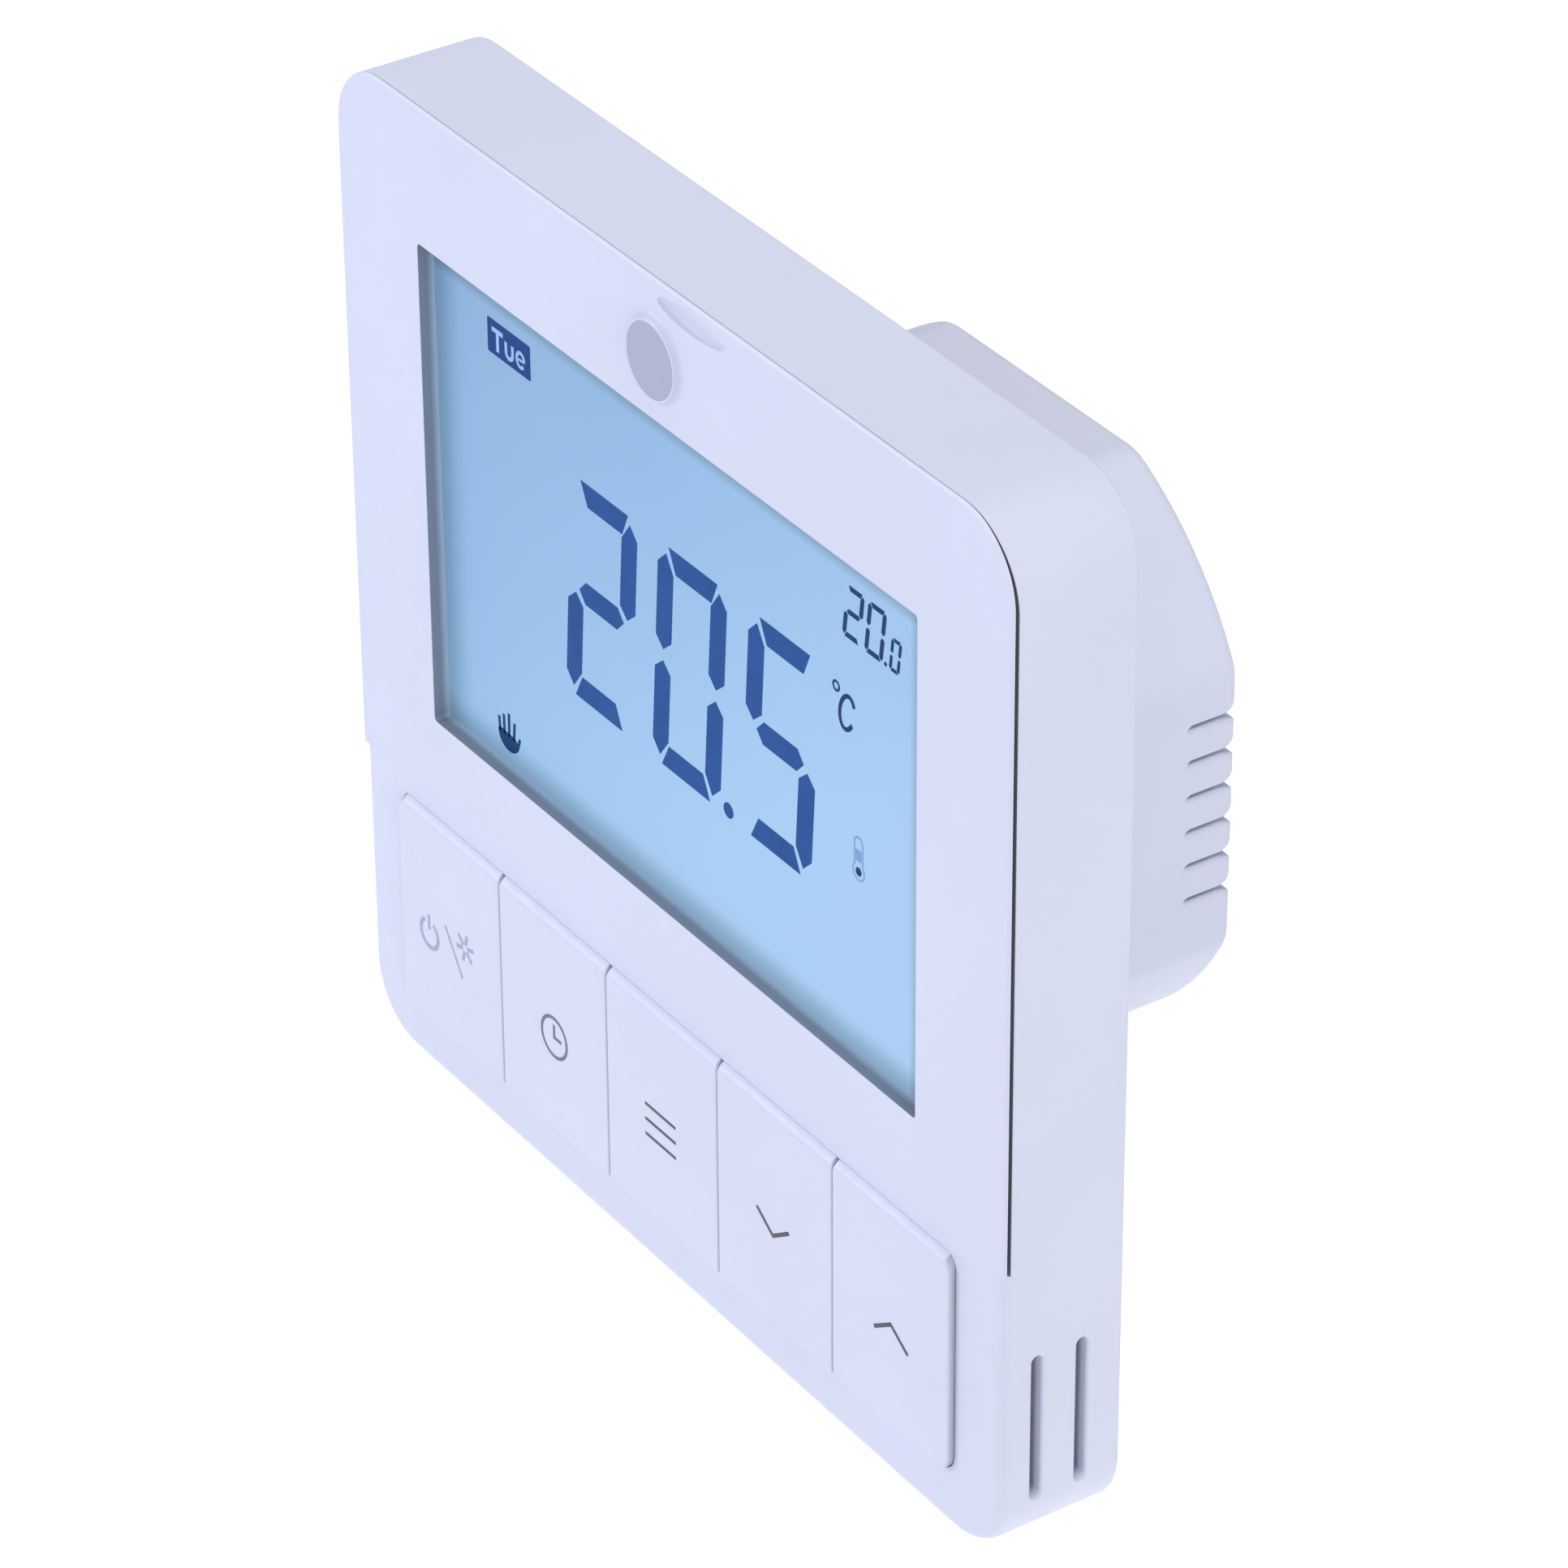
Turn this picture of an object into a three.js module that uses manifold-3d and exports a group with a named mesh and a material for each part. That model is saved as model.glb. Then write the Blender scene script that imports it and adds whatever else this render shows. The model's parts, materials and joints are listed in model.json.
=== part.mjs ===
// Wall thermostat for a 60 mm round wall box.
// Millimetres. +Z is up, +X is to the right seen from the front, and the front faces -Y.
// The origin is the centre of the object on the wall surface: the cover stands proud on the -Y
// side, and the rear box reaches into the wall on the +Y side.

import * as THREE from 'three';
import { mergeVertices } from 'three/addons/utils/BufferGeometryUtils.js';
import Module from 'manifold-3d';

const wasm = await Module();
wasm.setup();

// ---------------------------------------------------------------- driving dimensions

// Front cover
const COVER_SIZE = 86;
const COVER_CORNER = 6;
const COVER_DEPTH = 10.4;
const COVER_WALL = 1.8;
const FACE_THICKNESS = 1.4;
const UPPER_EDGE = 0.25;
const LOWER_EDGE = 1.2;

const GROOVE_SETBACK = 0.25;
const GROOVE_WIDTH = 0.4;
const GROOVE_DEPTH = 0.7;
const GROOVE_BOTTOM_Z = -17;

const WINDOW_WIDTH = 64;
const WINDOW_LOW_Z = -9.35;
const WINDOW_HIGH_Z = 31.45;

const BADGE_RADIUS = 3.6;
const BADGE_FACE_RADIUS = 3.0;
const BADGE_PROUD = 0.45;
const BADGE_RECESS = 0.3;
const BADGE_Z = 36.6;

const DIMPLE_LENGTH = 8.6;
const DIMPLE_HEIGHT = 1.8;
const DIMPLE_DEPTH = 0.5;
const DIMPLE_X = 4.7;
const DIMPLE_Z = 41.5;

const VENT_WIDTH = 1.25;
const VENT_LENGTH = 12.9;
const VENT_CENTRE_Z = -31.3;
const VENT_YS = [-7.75, -3.85];

// Posts in the cover that carry the front board, as [x, z]
const POST_RADIUS = 2.4;
const POSTS = [[-38, 38], [38, 38], [-38.6, -14.4], [38.6, -14.4]];
const POST_NAMES = ['upper_left', 'upper_right', 'lower_left', 'lower_right'];
const PILOT_RADIUS = 1;
const PILOT_DEPTH = 3.4;
const BOX_PILOT_DEPTH = 6;

// Snap ribs that hold the cover on the base plate
const RIB_HALF_LENGTH = 8;
const RIB_LOW_Y = -1;
const RIB_HIGH_Y = -0.2;
const RIB_HEIGHT = 0.8;
const NOTCH_ROOM = 1;
const NOTCH_DEPTH = 1.2;
const NOTCH_FRONT_ROOM = 0.3;

// Keys and their switches
const KEY_NAMES = ['power', 'clock', 'menu', 'down', 'up'];
const KEY_PITCH = 15;
const KEY_GAP = 0.3;
const KEY_HEIGHT = 19;
const KEY_CENTRE_Z = -28.2;
const KEY_PROUD = 0.6;
const KEY_OUTER_CORNER = 1.6;
const KEY_INNER_CORNER = 0.3;
const KEY_EDGE = 0.25;
const KEY_LIP = 0.8;
const KEY_LIP_THICKNESS = 0.9;

const SWITCH_SIZE = 6;
const SWITCH_HEIGHT = 2.2;
const SWITCH_WELL_DEPTH = 1.6;
const PLUNGER_RADIUS = 1.7;
const PLUNGER_CLEARANCE = 0.2;
const PLUNGER_SUNK = 0.8;

// Display, its light guide, frame, contact strip and lamps
const GLASS_THICKNESS = 1.9;
const GLASS_HALF_WIDTH = 34.2;
const GLASS_LOW_Z = -12.6;
const GLASS_HIGH_Z = 33.4;
const GUIDE_HALF_WIDTH = 32.4;
const GUIDE_LOW_Z = -9.8;
const GUIDE_HIGH_Z = 32.8;
const FRAME_WALL = 1.5;
const STRIP_HALF_WIDTH = 30;
const STRIP_INSET = 0.4;
const STRIP_GAP = 0.3;
const LAMP_HEIGHT = 3;
const LAMP_THICKNESS = 1.2;
const LAMP_SETBACK = 0.2;

// Boards, screws and the plug that joins them
const BOARD_THICKNESS = 1.6;
const BOARD_CORNER = 2;
const FRONT_BOARD_Y = -5;
const FRONT_BOARD_HALF_WIDTH = 39.6;
const FRONT_BOARD_LOW_Z = -39.6;
const FRONT_BOARD_HIGH_Z = 40.2;
const POWER_BOARD_Y = 9;
const POWER_BOARD_GAP = 0.5;

const SCREW_CLEARANCE = 0.2;
const SCREW_HEAD_RADIUS = 1.9;
const SCREW_HEAD_HEIGHT = 1.25;
const SCREW_TIP_ROOM = 0.5;
const RECESS_HALF_WIDTH = 0.3;
const RECESS_ARM = 1.1;
const RECESS_DEPTH = 0.6;

const PLUG_PINS = 8;
const PLUG_PIN_PITCH = 2.54;
const PLUG_Z = 17;
const PLUG_HALF_DEPTH = 1.25;
const PLUG_BACK_Y = -0.9;
const PIN_HALF = 0.3;
const PIN_END_Y = 4.6;
const SOCKET_GAP = 0.4;
const CONTACT_ROOM = 0.15;
const CONTACT_END_ROOM = 0.6;

// Parts on the rear side of the front board; places are x and z of the centre
const CHIP = { x: -14, z: 4, half: 5, height: 1.2, legReach: 1, legInset: 0.8, legHeight: 0.3 };
const CRYSTAL = { x: -2.4, z: 6.75, halfX: 1.6, halfZ: 0.75, height: 0.9 };
const CELL = { x: 10, z: -4, radius: 6.2, height: 2.4 };
const SENSOR = {
  lowX: 38.4, thickness: 1.4, halfZ: 1, frontY: -7.6, backY: -6,
  leadFromX: 0.5, leadHalf: 0.15, leadSpread: 0.6,
};

// Base: mounting plate and rear box
const BASE_THICKNESS = 2;
const BASE_GAP = 0.4;
const FIXING_SPACING = 60;
const FIXING_WIDTH = 4.4;
const FIXING_LENGTH = 8;
const SEAT_DEPTH = 0.7;
const SEAT_HALF_WIDTH = 6.8;
const SEAT_HALF_HEIGHT = 5.4;
const SEAT_CORNER = 1.5;

const BOX_RADIUS = 26.7;
const BOX_HALF_FLATS = 24.1;
const BOX_DEPTH = 23.5;
const BOX_WALL = 1.7;
const BOX_EDGE = 1;
const BOX_SLOT_COUNT = 6;
const BOX_SLOT_PITCH = 2.95;
const BOX_SLOT_HEIGHT = 0.9;
const BOX_SLOT_LENGTH = 4.6;
const BOX_SLOT_REACH = 3.6;
const BOX_SLOT_CENTRE_Z = 0.45;
const BOX_POSTS = [[-17.5, -12.5], [17.5, 13.5]];
const BOX_POST_NAMES = ['left', 'right'];
const BOX_POST_RADIUS = 2.5;

const INNER_COVER_Y = 0.4;
const INNER_COVER_THICKNESS = 1.2;
const INNER_COVER_GAP = 0.3;

// Parts on the rear side of the power board
const RELAY = { low: [-17, -6], high: [3, 9], height: 10.6 };
const MAINS_CAPACITOR = { low: [6, -8], high: [19, -1.8], height: 10 };
const SMOOTHING_CAPACITOR = { x: -9.5, z: 15.2, radius: 4, height: 10.5 };
const FUSE = { x: 8.5, z: 14.5, radius: 4.2, height: 7.6 };
const VARISTOR = {
  x: 10.5, z: 3.6, radius: 4.4, thickness: 3.2, stand: 0.8,
  footHalfX: 2, footHalfZ: 0.8, footHeight: 2,
};

// Terminal block
const BLOCK_WAYS = 4;
const BLOCK_PITCH = 5;
const BLOCK_LOW_Z = -19.4;
const BLOCK_HIGH_Z = -10.6;
const BLOCK_REAR_Y = 22.6;
const BLOCK_OPENING_GAP = 0.4;
const BLOCK_OPENING_FROM = 1;
const WIRE_HOLE = 3.4;
const WIRE_Y = 14.2;
const CLAMP_WELL_RADIUS = 2;
const CLAMP_SCREW_SUNK = 0.8;
const CLAMP_SCREW_ROOM = 0.6;
const CLAMP_SLOT_WIDTH = 0.7;
const CLAMP_SLOT_DEPTH = 0.9;

// Clearances and how finely curves are drawn
const FIT = 0.1;
const BEYOND = 1;
const ROUND_SEGMENTS = 32;
const SMALL_ROUND_SEGMENTS = 20;
const ARC_SEGMENTS = 6;
const EDGE_SEGMENTS = 2;
const WIDE_EDGE_SEGMENTS = 4;
const DIMPLE_SEGMENTS = 24;
const MERGE_TOLERANCE = 1e-4;

// ---------------------------------------------------------------- derived places

const FACE_Y = -COVER_DEPTH;
const FACE_BACK_Y = FACE_Y + FACE_THICKNESS;
const COVER_HALF = COVER_SIZE / 2;
const CAVITY_HALF = COVER_HALF - COVER_WALL;
const CAVITY_CORNER = COVER_CORNER - COVER_WALL;
const PLATE_HALF = CAVITY_HALF - BASE_GAP;
const KEY_LIP_Y = FACE_BACK_Y + FIT;
const KEY_BACK_Y = KEY_LIP_Y + KEY_LIP_THICKNESS;
const KEY_LOW_Z = KEY_CENTRE_Z - KEY_HEIGHT / 2;
const KEY_HIGH_Z = KEY_CENTRE_Z + KEY_HEIGHT / 2;
const KEY_ROW_HALF = KEY_NAMES.length * KEY_PITCH / 2;
const GLASS_BACK_Y = FACE_BACK_Y + GLASS_THICKNESS;
const GUIDE_FRONT_Y = GLASS_BACK_Y + FIT;
const GUIDE_BACK_Y = FRONT_BOARD_Y - FIT;
const FRONT_BOARD_BACK_Y = FRONT_BOARD_Y + BOARD_THICKNESS;
const POWER_BOARD_BACK_Y = POWER_BOARD_Y + BOARD_THICKNESS;
const PLUG_HALF_WIDTH = PLUG_PINS * PLUG_PIN_PITCH / 2;
const BOX_INNER_Y = BOX_DEPTH - BOX_WALL;
const BOX_INNER_RADIUS = BOX_RADIUS - BOX_WALL;
const BOX_INNER_HALF_FLATS = BOX_HALF_FLATS - BOX_WALL;
const BLOCK_HALF_WIDTH = BLOCK_WAYS * BLOCK_PITCH / 2;
const CLAMP_Z = (BLOCK_LOW_Z + BLOCK_HIGH_Z) / 2;
const SCREW_SHANK_RADIUS = PILOT_RADIUS - SCREW_CLEARANCE / 2;

// ---------------------------------------------------------------- materials

function plastic(colour, roughness) {
  return new THREE.MeshStandardMaterial({ color: colour, roughness, metalness: 0 });
}

function metal(colour, roughness) {
  return new THREE.MeshStandardMaterial({ color: colour, roughness, metalness: 1 });
}

const COVER_PLASTIC = plastic(0xdfe3f5, 0.45);
const KEY_PLASTIC = plastic(0xdcdff4, 0.45);
const BOX_PLASTIC = plastic(0xd3d7ec, 0.5);
const BADGE_GREY = plastic(0xb4b9d2, 0.4);
const DISPLAY_BLUE = plastic(0x9cc0e8, 0.15);
const CLEAR_ACRYLIC = plastic(0xe8f2fa, 0.2);
const FRAME_WHITE = plastic(0xf2f2f2, 0.5);
const CONTACT_RUBBER = plastic(0x6f7880, 0.8);
const LAMP_WHITE = plastic(0xf6f6ea, 0.3);
const BOARD_GREEN = plastic(0x1f6b3a, 0.5);
const CHIP_BLACK = plastic(0x1c1c1e, 0.5);
const CONNECTOR_BLACK = plastic(0x222224, 0.6);
const SENSOR_BEAD = plastic(0x2b2b2b, 0.4);
const INNER_COVER_GREY = plastic(0xc9ccd2, 0.5);
const RELAY_BLUE = plastic(0x2d5f9e, 0.4);
const CAPACITOR_YELLOW = plastic(0xd8b93c, 0.4);
const CAPACITOR_BLACK = plastic(0x24282f, 0.35);
const FUSE_BROWN = plastic(0x5a3a28, 0.45);
const VARISTOR_BLUE = plastic(0x2a6fb5, 0.4);
const BLOCK_GREY = plastic(0x8c9298, 0.5);
const STEEL = metal(0xb8bcc2, 0.35);
const CELL_STEEL = metal(0xc6c9cd, 0.25);

// ---------------------------------------------------------------- solid building

const thermostat = new THREE.Group();

function toSolid(geometry) {
  geometry.deleteAttribute('normal');
  geometry.deleteAttribute('uv');
  const merged = mergeVertices(geometry, MERGE_TOLERANCE);
  return new wasm.Manifold(new wasm.Mesh({
    numProp: 3,
    vertProperties: new Float32Array(merged.attributes.position.array),
    triVerts: new Uint32Array(merged.index.array),
  }));
}

function toGeometry(solid) {
  const mesh = solid.getMesh();
  const geometry = new THREE.BufferGeometry();
  geometry.setAttribute('position', new THREE.BufferAttribute(mesh.vertProperties, mesh.numProp));
  geometry.setIndex(new THREE.BufferAttribute(mesh.triVerts, 1));
  geometry.computeVertexNormals();
  return geometry;
}

function addPiece(name, solid, material) {
  const mesh = new THREE.Mesh(toGeometry(solid), material);
  mesh.name = name;
  thermostat.add(mesh);
}

// Adds the solids of a list into one.
function joined(solids) {
  return solids.reduce((sum, solid) => sum.add(solid));
}

// Cuts every solid of a list out of the first one.
function cutBy(solid, cutters) {
  return cutters.reduce((rest, cutter) => rest.subtract(cutter), solid);
}

// A box between two opposite corners, given in either order.
function block(corner, opposite) {
  const low = corner.map((value, axis) => Math.min(value, opposite[axis]));
  const size = corner.map((value, axis) => Math.abs(opposite[axis] - value));
  const geometry = new THREE.BoxGeometry(...size);
  geometry.translate(...low.map((value, axis) => value + size[axis] / 2));
  return toSolid(geometry);
}

// A rod along Y between two depths, centred on (x, z).
function rodY(radius, y0, y1, x, z, segments = ROUND_SEGMENTS) {
  const geometry = new THREE.CylinderGeometry(radius, radius, Math.abs(y1 - y0), segments);
  geometry.translate(x, (y0 + y1) / 2, z);
  return toSolid(geometry);
}

// A shape drawn in X and Z, extruded along Y, with an optional rounded edge on both ends.
function extrudeY(shape, yLow, yHigh, edge = 0, edgeSegments = EDGE_SEGMENTS) {
  const geometry = new THREE.ExtrudeGeometry(shape, {
    depth: yHigh - yLow - 2 * edge,
    curveSegments: ARC_SEGMENTS,
    bevelEnabled: edge > 0,
    bevelThickness: edge,
    bevelSize: edge,
    bevelOffset: -edge,
    bevelSegments: edgeSegments,
  });
  geometry.rotateX(Math.PI / 2);
  geometry.translate(0, yHigh - edge, 0);
  return toSolid(geometry);
}

// A rectangle with a radius for each corner: lower left, lower right, upper right, upper left.
function roundedRect(xLow, xHigh, zLow, zHigh, radii) {
  const [lowerLeft, lowerRight, upperRight, upperLeft] = radii;
  const shape = new THREE.Shape();
  shape.moveTo(xLow + lowerLeft, zLow);
  shape.lineTo(xHigh - lowerRight, zLow);
  shape.absarc(xHigh - lowerRight, zLow + lowerRight, lowerRight, -Math.PI / 2, 0, false);
  shape.lineTo(xHigh, zHigh - upperRight);
  shape.absarc(xHigh - upperRight, zHigh - upperRight, upperRight, 0, Math.PI / 2, false);
  shape.lineTo(xLow + upperLeft, zHigh);
  shape.absarc(xLow + upperLeft, zHigh - upperLeft, upperLeft, Math.PI / 2, Math.PI, false);
  shape.lineTo(xLow, zLow + lowerLeft);
  shape.absarc(xLow + lowerLeft, zLow + lowerLeft, lowerLeft, Math.PI, 1.5 * Math.PI, false);
  return shape;
}

// The same radius at all four corners.
function evenRect(xLow, xHigh, zLow, zHigh, radius) {
  return roundedRect(xLow, xHigh, zLow, zHigh, [radius, radius, radius, radius]);
}

function roundedSquare(half, radius) {
  return evenRect(-half, half, -half, half, radius);
}

// A circle with four flats, the outline of the rear box and of everything that fills it.
function flattedCircle(radius, halfFlats) {
  const turn = Math.acos(halfFlats / radius);
  const shape = new THREE.Shape();
  for (let quarter = 0; quarter < 4; quarter += 1) {
    const from = quarter * Math.PI / 2 + turn;
    const to = (quarter + 1) * Math.PI / 2 - turn;
    const start = [radius * Math.cos(from), radius * Math.sin(from)];
    if (quarter === 0) {
      shape.moveTo(...start);
    } else {
      shape.lineTo(...start);
    }
    shape.absarc(0, 0, radius, from, to, false);
  }
  return shape;
}

// ---------------------------------------------------------------- front cover

function coverStock(edge, edgeSegments) {
  const outline = roundedSquare(COVER_HALF, COVER_CORNER);
  return extrudeY(outline, FACE_Y, BEYOND + edge, edge, edgeSegments);
}

// The face meets the walls in a crisp edge above, and in a soft one round the lowest part.
function coverBody() {
  const far = COVER_SIZE;
  const behindWall = block([-far, 0, -far], [far, far, far]);
  const lowestPart = block([-far, -far, -far], [far, far, GROOVE_BOTTOM_Z]);
  const upper = coverStock(UPPER_EDGE, EDGE_SEGMENTS).subtract(lowestPart);
  const lower = coverStock(LOWER_EDGE, WIDE_EDGE_SEGMENTS).intersect(lowestPart);
  const cavity = extrudeY(roundedSquare(CAVITY_HALF, CAVITY_CORNER), FACE_BACK_Y, BEYOND);
  return cutBy(upper.add(lower), [behindWall, cavity]);
}

// The shadow gap round the top and both sides, just behind the face.
function grooveCutter() {
  const low = FACE_Y + GROOVE_SETBACK;
  const high = low + GROOVE_WIDTH;
  const around = block([-COVER_SIZE, low, GROOVE_BOTTOM_Z], [COVER_SIZE, high, COVER_SIZE]);
  const core = roundedSquare(COVER_HALF - GROOVE_DEPTH, COVER_CORNER - GROOVE_DEPTH);
  return around.subtract(extrudeY(core, low - BEYOND, high + BEYOND));
}

function windowCutter() {
  const half = WINDOW_WIDTH / 2;
  return block([-half, FACE_Y - BEYOND, WINDOW_LOW_Z], [half, FACE_BACK_Y + BEYOND, WINDOW_HIGH_Z]);
}

// One opening for the whole row of keys, with the key gap all round.
function keyRowCutter() {
  const half = KEY_ROW_HALF + KEY_GAP / 2;
  const radius = KEY_OUTER_CORNER + KEY_GAP;
  const outline = evenRect(-half, half, KEY_LOW_Z - KEY_GAP, KEY_HIGH_Z + KEY_GAP, radius);
  return extrudeY(outline, FACE_Y - BEYOND, FACE_BACK_Y + BEYOND);
}

// Round-ended slots through both side walls, low down, for the room air.
function ventCutters() {
  return VENT_YS.map((y) => {
    const halfStraight = (VENT_LENGTH - VENT_WIDTH) / 2;
    const radius = VENT_WIDTH / 2;
    const outline = new THREE.Shape();
    outline.absarc(0, halfStraight, radius, 0, Math.PI, false);
    outline.absarc(0, -halfStraight, radius, Math.PI, 2 * Math.PI, false);
    const length = COVER_SIZE + 2 * BEYOND;
    const geometry = new THREE.ExtrudeGeometry(outline, {
      depth: length,
      curveSegments: 2 * ARC_SEGMENTS,
      bevelEnabled: false,
    });
    // The outline's own axes become Y and Z, and it is drawn out along X.
    geometry.translate(0, 0, -length / 2);
    geometry.rotateX(Math.PI / 2);
    geometry.rotateZ(Math.PI / 2);
    geometry.translate(0, y, VENT_CENTRE_Z);
    return toSolid(geometry);
  });
}

// The shallow dimple that a finger or a screwdriver finds to release the cover.
function dimpleCutter() {
  const geometry = new THREE.SphereGeometry(0.5, DIMPLE_SEGMENTS, DIMPLE_SEGMENTS / 2);
  geometry.scale(DIMPLE_LENGTH, 2 * DIMPLE_DEPTH, DIMPLE_HEIGHT);
  geometry.translate(DIMPLE_X, FACE_Y, DIMPLE_Z);
  return toSolid(geometry);
}

function badgeRecess() {
  return rodY(BADGE_RADIUS + FIT, FACE_Y - BEYOND, FACE_Y + BADGE_RECESS, 0, BADGE_Z);
}

// Posts that carry the front board, each with a pilot hole for its screw.
function coverPosts() {
  return POSTS.map(([x, z]) => (
    rodY(POST_RADIUS, FACE_BACK_Y - FIT, FRONT_BOARD_Y, x, z, SMALL_ROUND_SEGMENTS)
  ));
}

function coverPilots() {
  return POSTS.map(([x, z]) => rodY(
    PILOT_RADIUS, FRONT_BOARD_Y - PILOT_DEPTH, FRONT_BOARD_Y + BEYOND, x, z, SMALL_ROUND_SEGMENTS,
  ));
}

function snapRibs() {
  return [-1, 1].map((side) => block(
    [-RIB_HALF_LENGTH, RIB_LOW_Y, side * (CAVITY_HALF - RIB_HEIGHT)],
    [RIB_HALF_LENGTH, RIB_HIGH_Y, side * (CAVITY_HALF + FIT)],
  ));
}

function makeCover() {
  const body = joined([coverBody(), ...coverPosts(), ...snapRibs()]);
  const cover = cutBy(body, [
    grooveCutter(),
    windowCutter(),
    keyRowCutter(),
    dimpleCutter(),
    badgeRecess(),
    ...ventCutters(),
    ...coverPilots(),
  ]);
  addPiece('front_cover', cover, COVER_PLASTIC);
}

// A button pressed into the face, with a sloping flank round its flat front.
function makeBadge() {
  const plug = rodY(BADGE_RADIUS, FACE_Y - FIT, FACE_Y + BADGE_RECESS, 0, BADGE_Z);
  const flank = new THREE.CylinderGeometry(BADGE_RADIUS, BADGE_FACE_RADIUS, BADGE_PROUD, ROUND_SEGMENTS);
  flank.translate(0, FACE_Y - BADGE_PROUD / 2, BADGE_Z);
  addPiece('badge', plug.add(toSolid(flank)), BADGE_GREY);
}

// ---------------------------------------------------------------- keys and their switches

function keyCentreX(index) {
  return (index - (KEY_NAMES.length - 1) / 2) * KEY_PITCH;
}

// A cap that stands a little proud of the face, with a lip behind the face that stops it there.
function makeKey(name, index) {
  const x = keyCentreX(index);
  const half = (KEY_PITCH - KEY_GAP) / 2;
  const left = index === 0 ? KEY_OUTER_CORNER : KEY_INNER_CORNER;
  const right = index === KEY_NAMES.length - 1 ? KEY_OUTER_CORNER : KEY_INNER_CORNER;
  const outline = roundedRect(x - half, x + half, KEY_LOW_Z, KEY_HIGH_Z, [left, right, right, left]);
  const cap = extrudeY(outline, FACE_Y - KEY_PROUD, KEY_LIP_Y + KEY_EDGE, KEY_EDGE);
  const lip = block(
    [x - half, KEY_LIP_Y, KEY_LOW_Z - KEY_LIP],
    [x + half, KEY_BACK_Y, KEY_HIGH_Z + KEY_LIP],
  );
  addPiece(`key_${name}`, cap.add(lip), KEY_PLASTIC);
}

// A square tactile switch on the board, with a round plunger that the key pushes in.
function makeSwitch(name, index) {
  const x = keyCentreX(index);
  const z = KEY_CENTRE_Z;
  const half = SWITCH_SIZE / 2;
  const top = FRONT_BOARD_Y - SWITCH_HEIGHT;
  const body = block([x - half, top, z - half], [x + half, FRONT_BOARD_Y, z + half]);
  const wellRadius = PLUNGER_RADIUS + PLUNGER_CLEARANCE;
  const well = rodY(wellRadius, top - BEYOND, top + SWITCH_WELL_DEPTH, x, z, SMALL_ROUND_SEGMENTS);
  const plungerFront = KEY_BACK_Y + FIT / 2;
  const plunger = rodY(PLUNGER_RADIUS, plungerFront, top + PLUNGER_SUNK, x, z, SMALL_ROUND_SEGMENTS);
  addPiece(`switch_${name}`, body.subtract(well), CHIP_BLACK);
  addPiece(`plunger_${name}`, plunger, FRAME_WHITE);
}

// ---------------------------------------------------------------- display

function makeDisplayGlass() {
  const glass = block(
    [-GLASS_HALF_WIDTH, FACE_BACK_Y, GLASS_LOW_Z],
    [GLASS_HALF_WIDTH, GLASS_BACK_Y, GLASS_HIGH_Z],
  );
  addPiece('display_glass', glass, DISPLAY_BLUE);
}

function makeLightGuide() {
  const guide = block(
    [-GUIDE_HALF_WIDTH, GUIDE_FRONT_Y, GUIDE_LOW_Z],
    [GUIDE_HALF_WIDTH, GUIDE_BACK_Y, GUIDE_HIGH_Z],
  );
  addPiece('light_guide', guide, CLEAR_ACRYLIC);
}

// The frame that holds the glass and the light guide against the face.
function makeDisplayFrame() {
  const x = GLASS_HALF_WIDTH + FIT;
  const low = GLASS_LOW_Z - FIT;
  const high = GLASS_HIGH_Z + FIT;
  const stock = block(
    [-x - FRAME_WALL, FACE_BACK_Y, low - FRAME_WALL],
    [x + FRAME_WALL, GUIDE_BACK_Y, high + FRAME_WALL],
  );
  const hole = block([-x, FACE_BACK_Y - BEYOND, low], [x, GUIDE_BACK_Y + BEYOND, high]);
  addPiece('display_frame', stock.subtract(hole), FRAME_WHITE);
}

// The elastomer strip that carries the glass's contacts down to the board.
function makeContactStrip() {
  const strip = block(
    [-STRIP_HALF_WIDTH, GUIDE_FRONT_Y, GLASS_LOW_Z + STRIP_INSET],
    [STRIP_HALF_WIDTH, GUIDE_BACK_Y, GUIDE_LOW_Z - STRIP_GAP],
  );
  addPiece('display_contact_strip', strip, CONTACT_RUBBER);
}

// A lamp at each side of the light guide, half way up.
function makeLamps() {
  const middle = (GUIDE_LOW_Z + GUIDE_HIGH_Z) / 2;
  const near = GUIDE_HALF_WIDTH + FIT;
  for (const [name, side] of [['left', -1], ['right', 1]]) {
    const lamp = block(
      [side * near, GUIDE_FRONT_Y + LAMP_SETBACK, middle - LAMP_HEIGHT / 2],
      [side * (near + LAMP_THICKNESS), GUIDE_BACK_Y, middle + LAMP_HEIGHT / 2],
    );
    addPiece(`backlight_lamp_${name}`, lamp, LAMP_WHITE);
  }
}

// ---------------------------------------------------------------- front board and what is on it

// A cross-recessed pan-head screw along Y. It goes in from the +Y side when side is 1, and from
// the -Y side when side is -1.
function panScrew(x, z, seatY, length, side) {
  const headEnd = seatY + side * SCREW_HEAD_HEIGHT;
  const head = rodY(SCREW_HEAD_RADIUS, seatY, headEnd, x, z, SMALL_ROUND_SEGMENTS);
  const tipY = seatY - side * length;
  const shank = rodY(SCREW_SHANK_RADIUS, seatY, tipY, x, z, SMALL_ROUND_SEGMENTS);
  const floor = headEnd - side * RECESS_DEPTH;
  const end = headEnd + side * BEYOND;
  const across = block(
    [x - RECESS_ARM, floor, z - RECESS_HALF_WIDTH],
    [x + RECESS_ARM, end, z + RECESS_HALF_WIDTH],
  );
  const upright = block(
    [x - RECESS_HALF_WIDTH, floor, z - RECESS_ARM],
    [x + RECESS_HALF_WIDTH, end, z + RECESS_ARM],
  );
  return cutBy(head.add(shank), [across, upright]);
}

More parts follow.
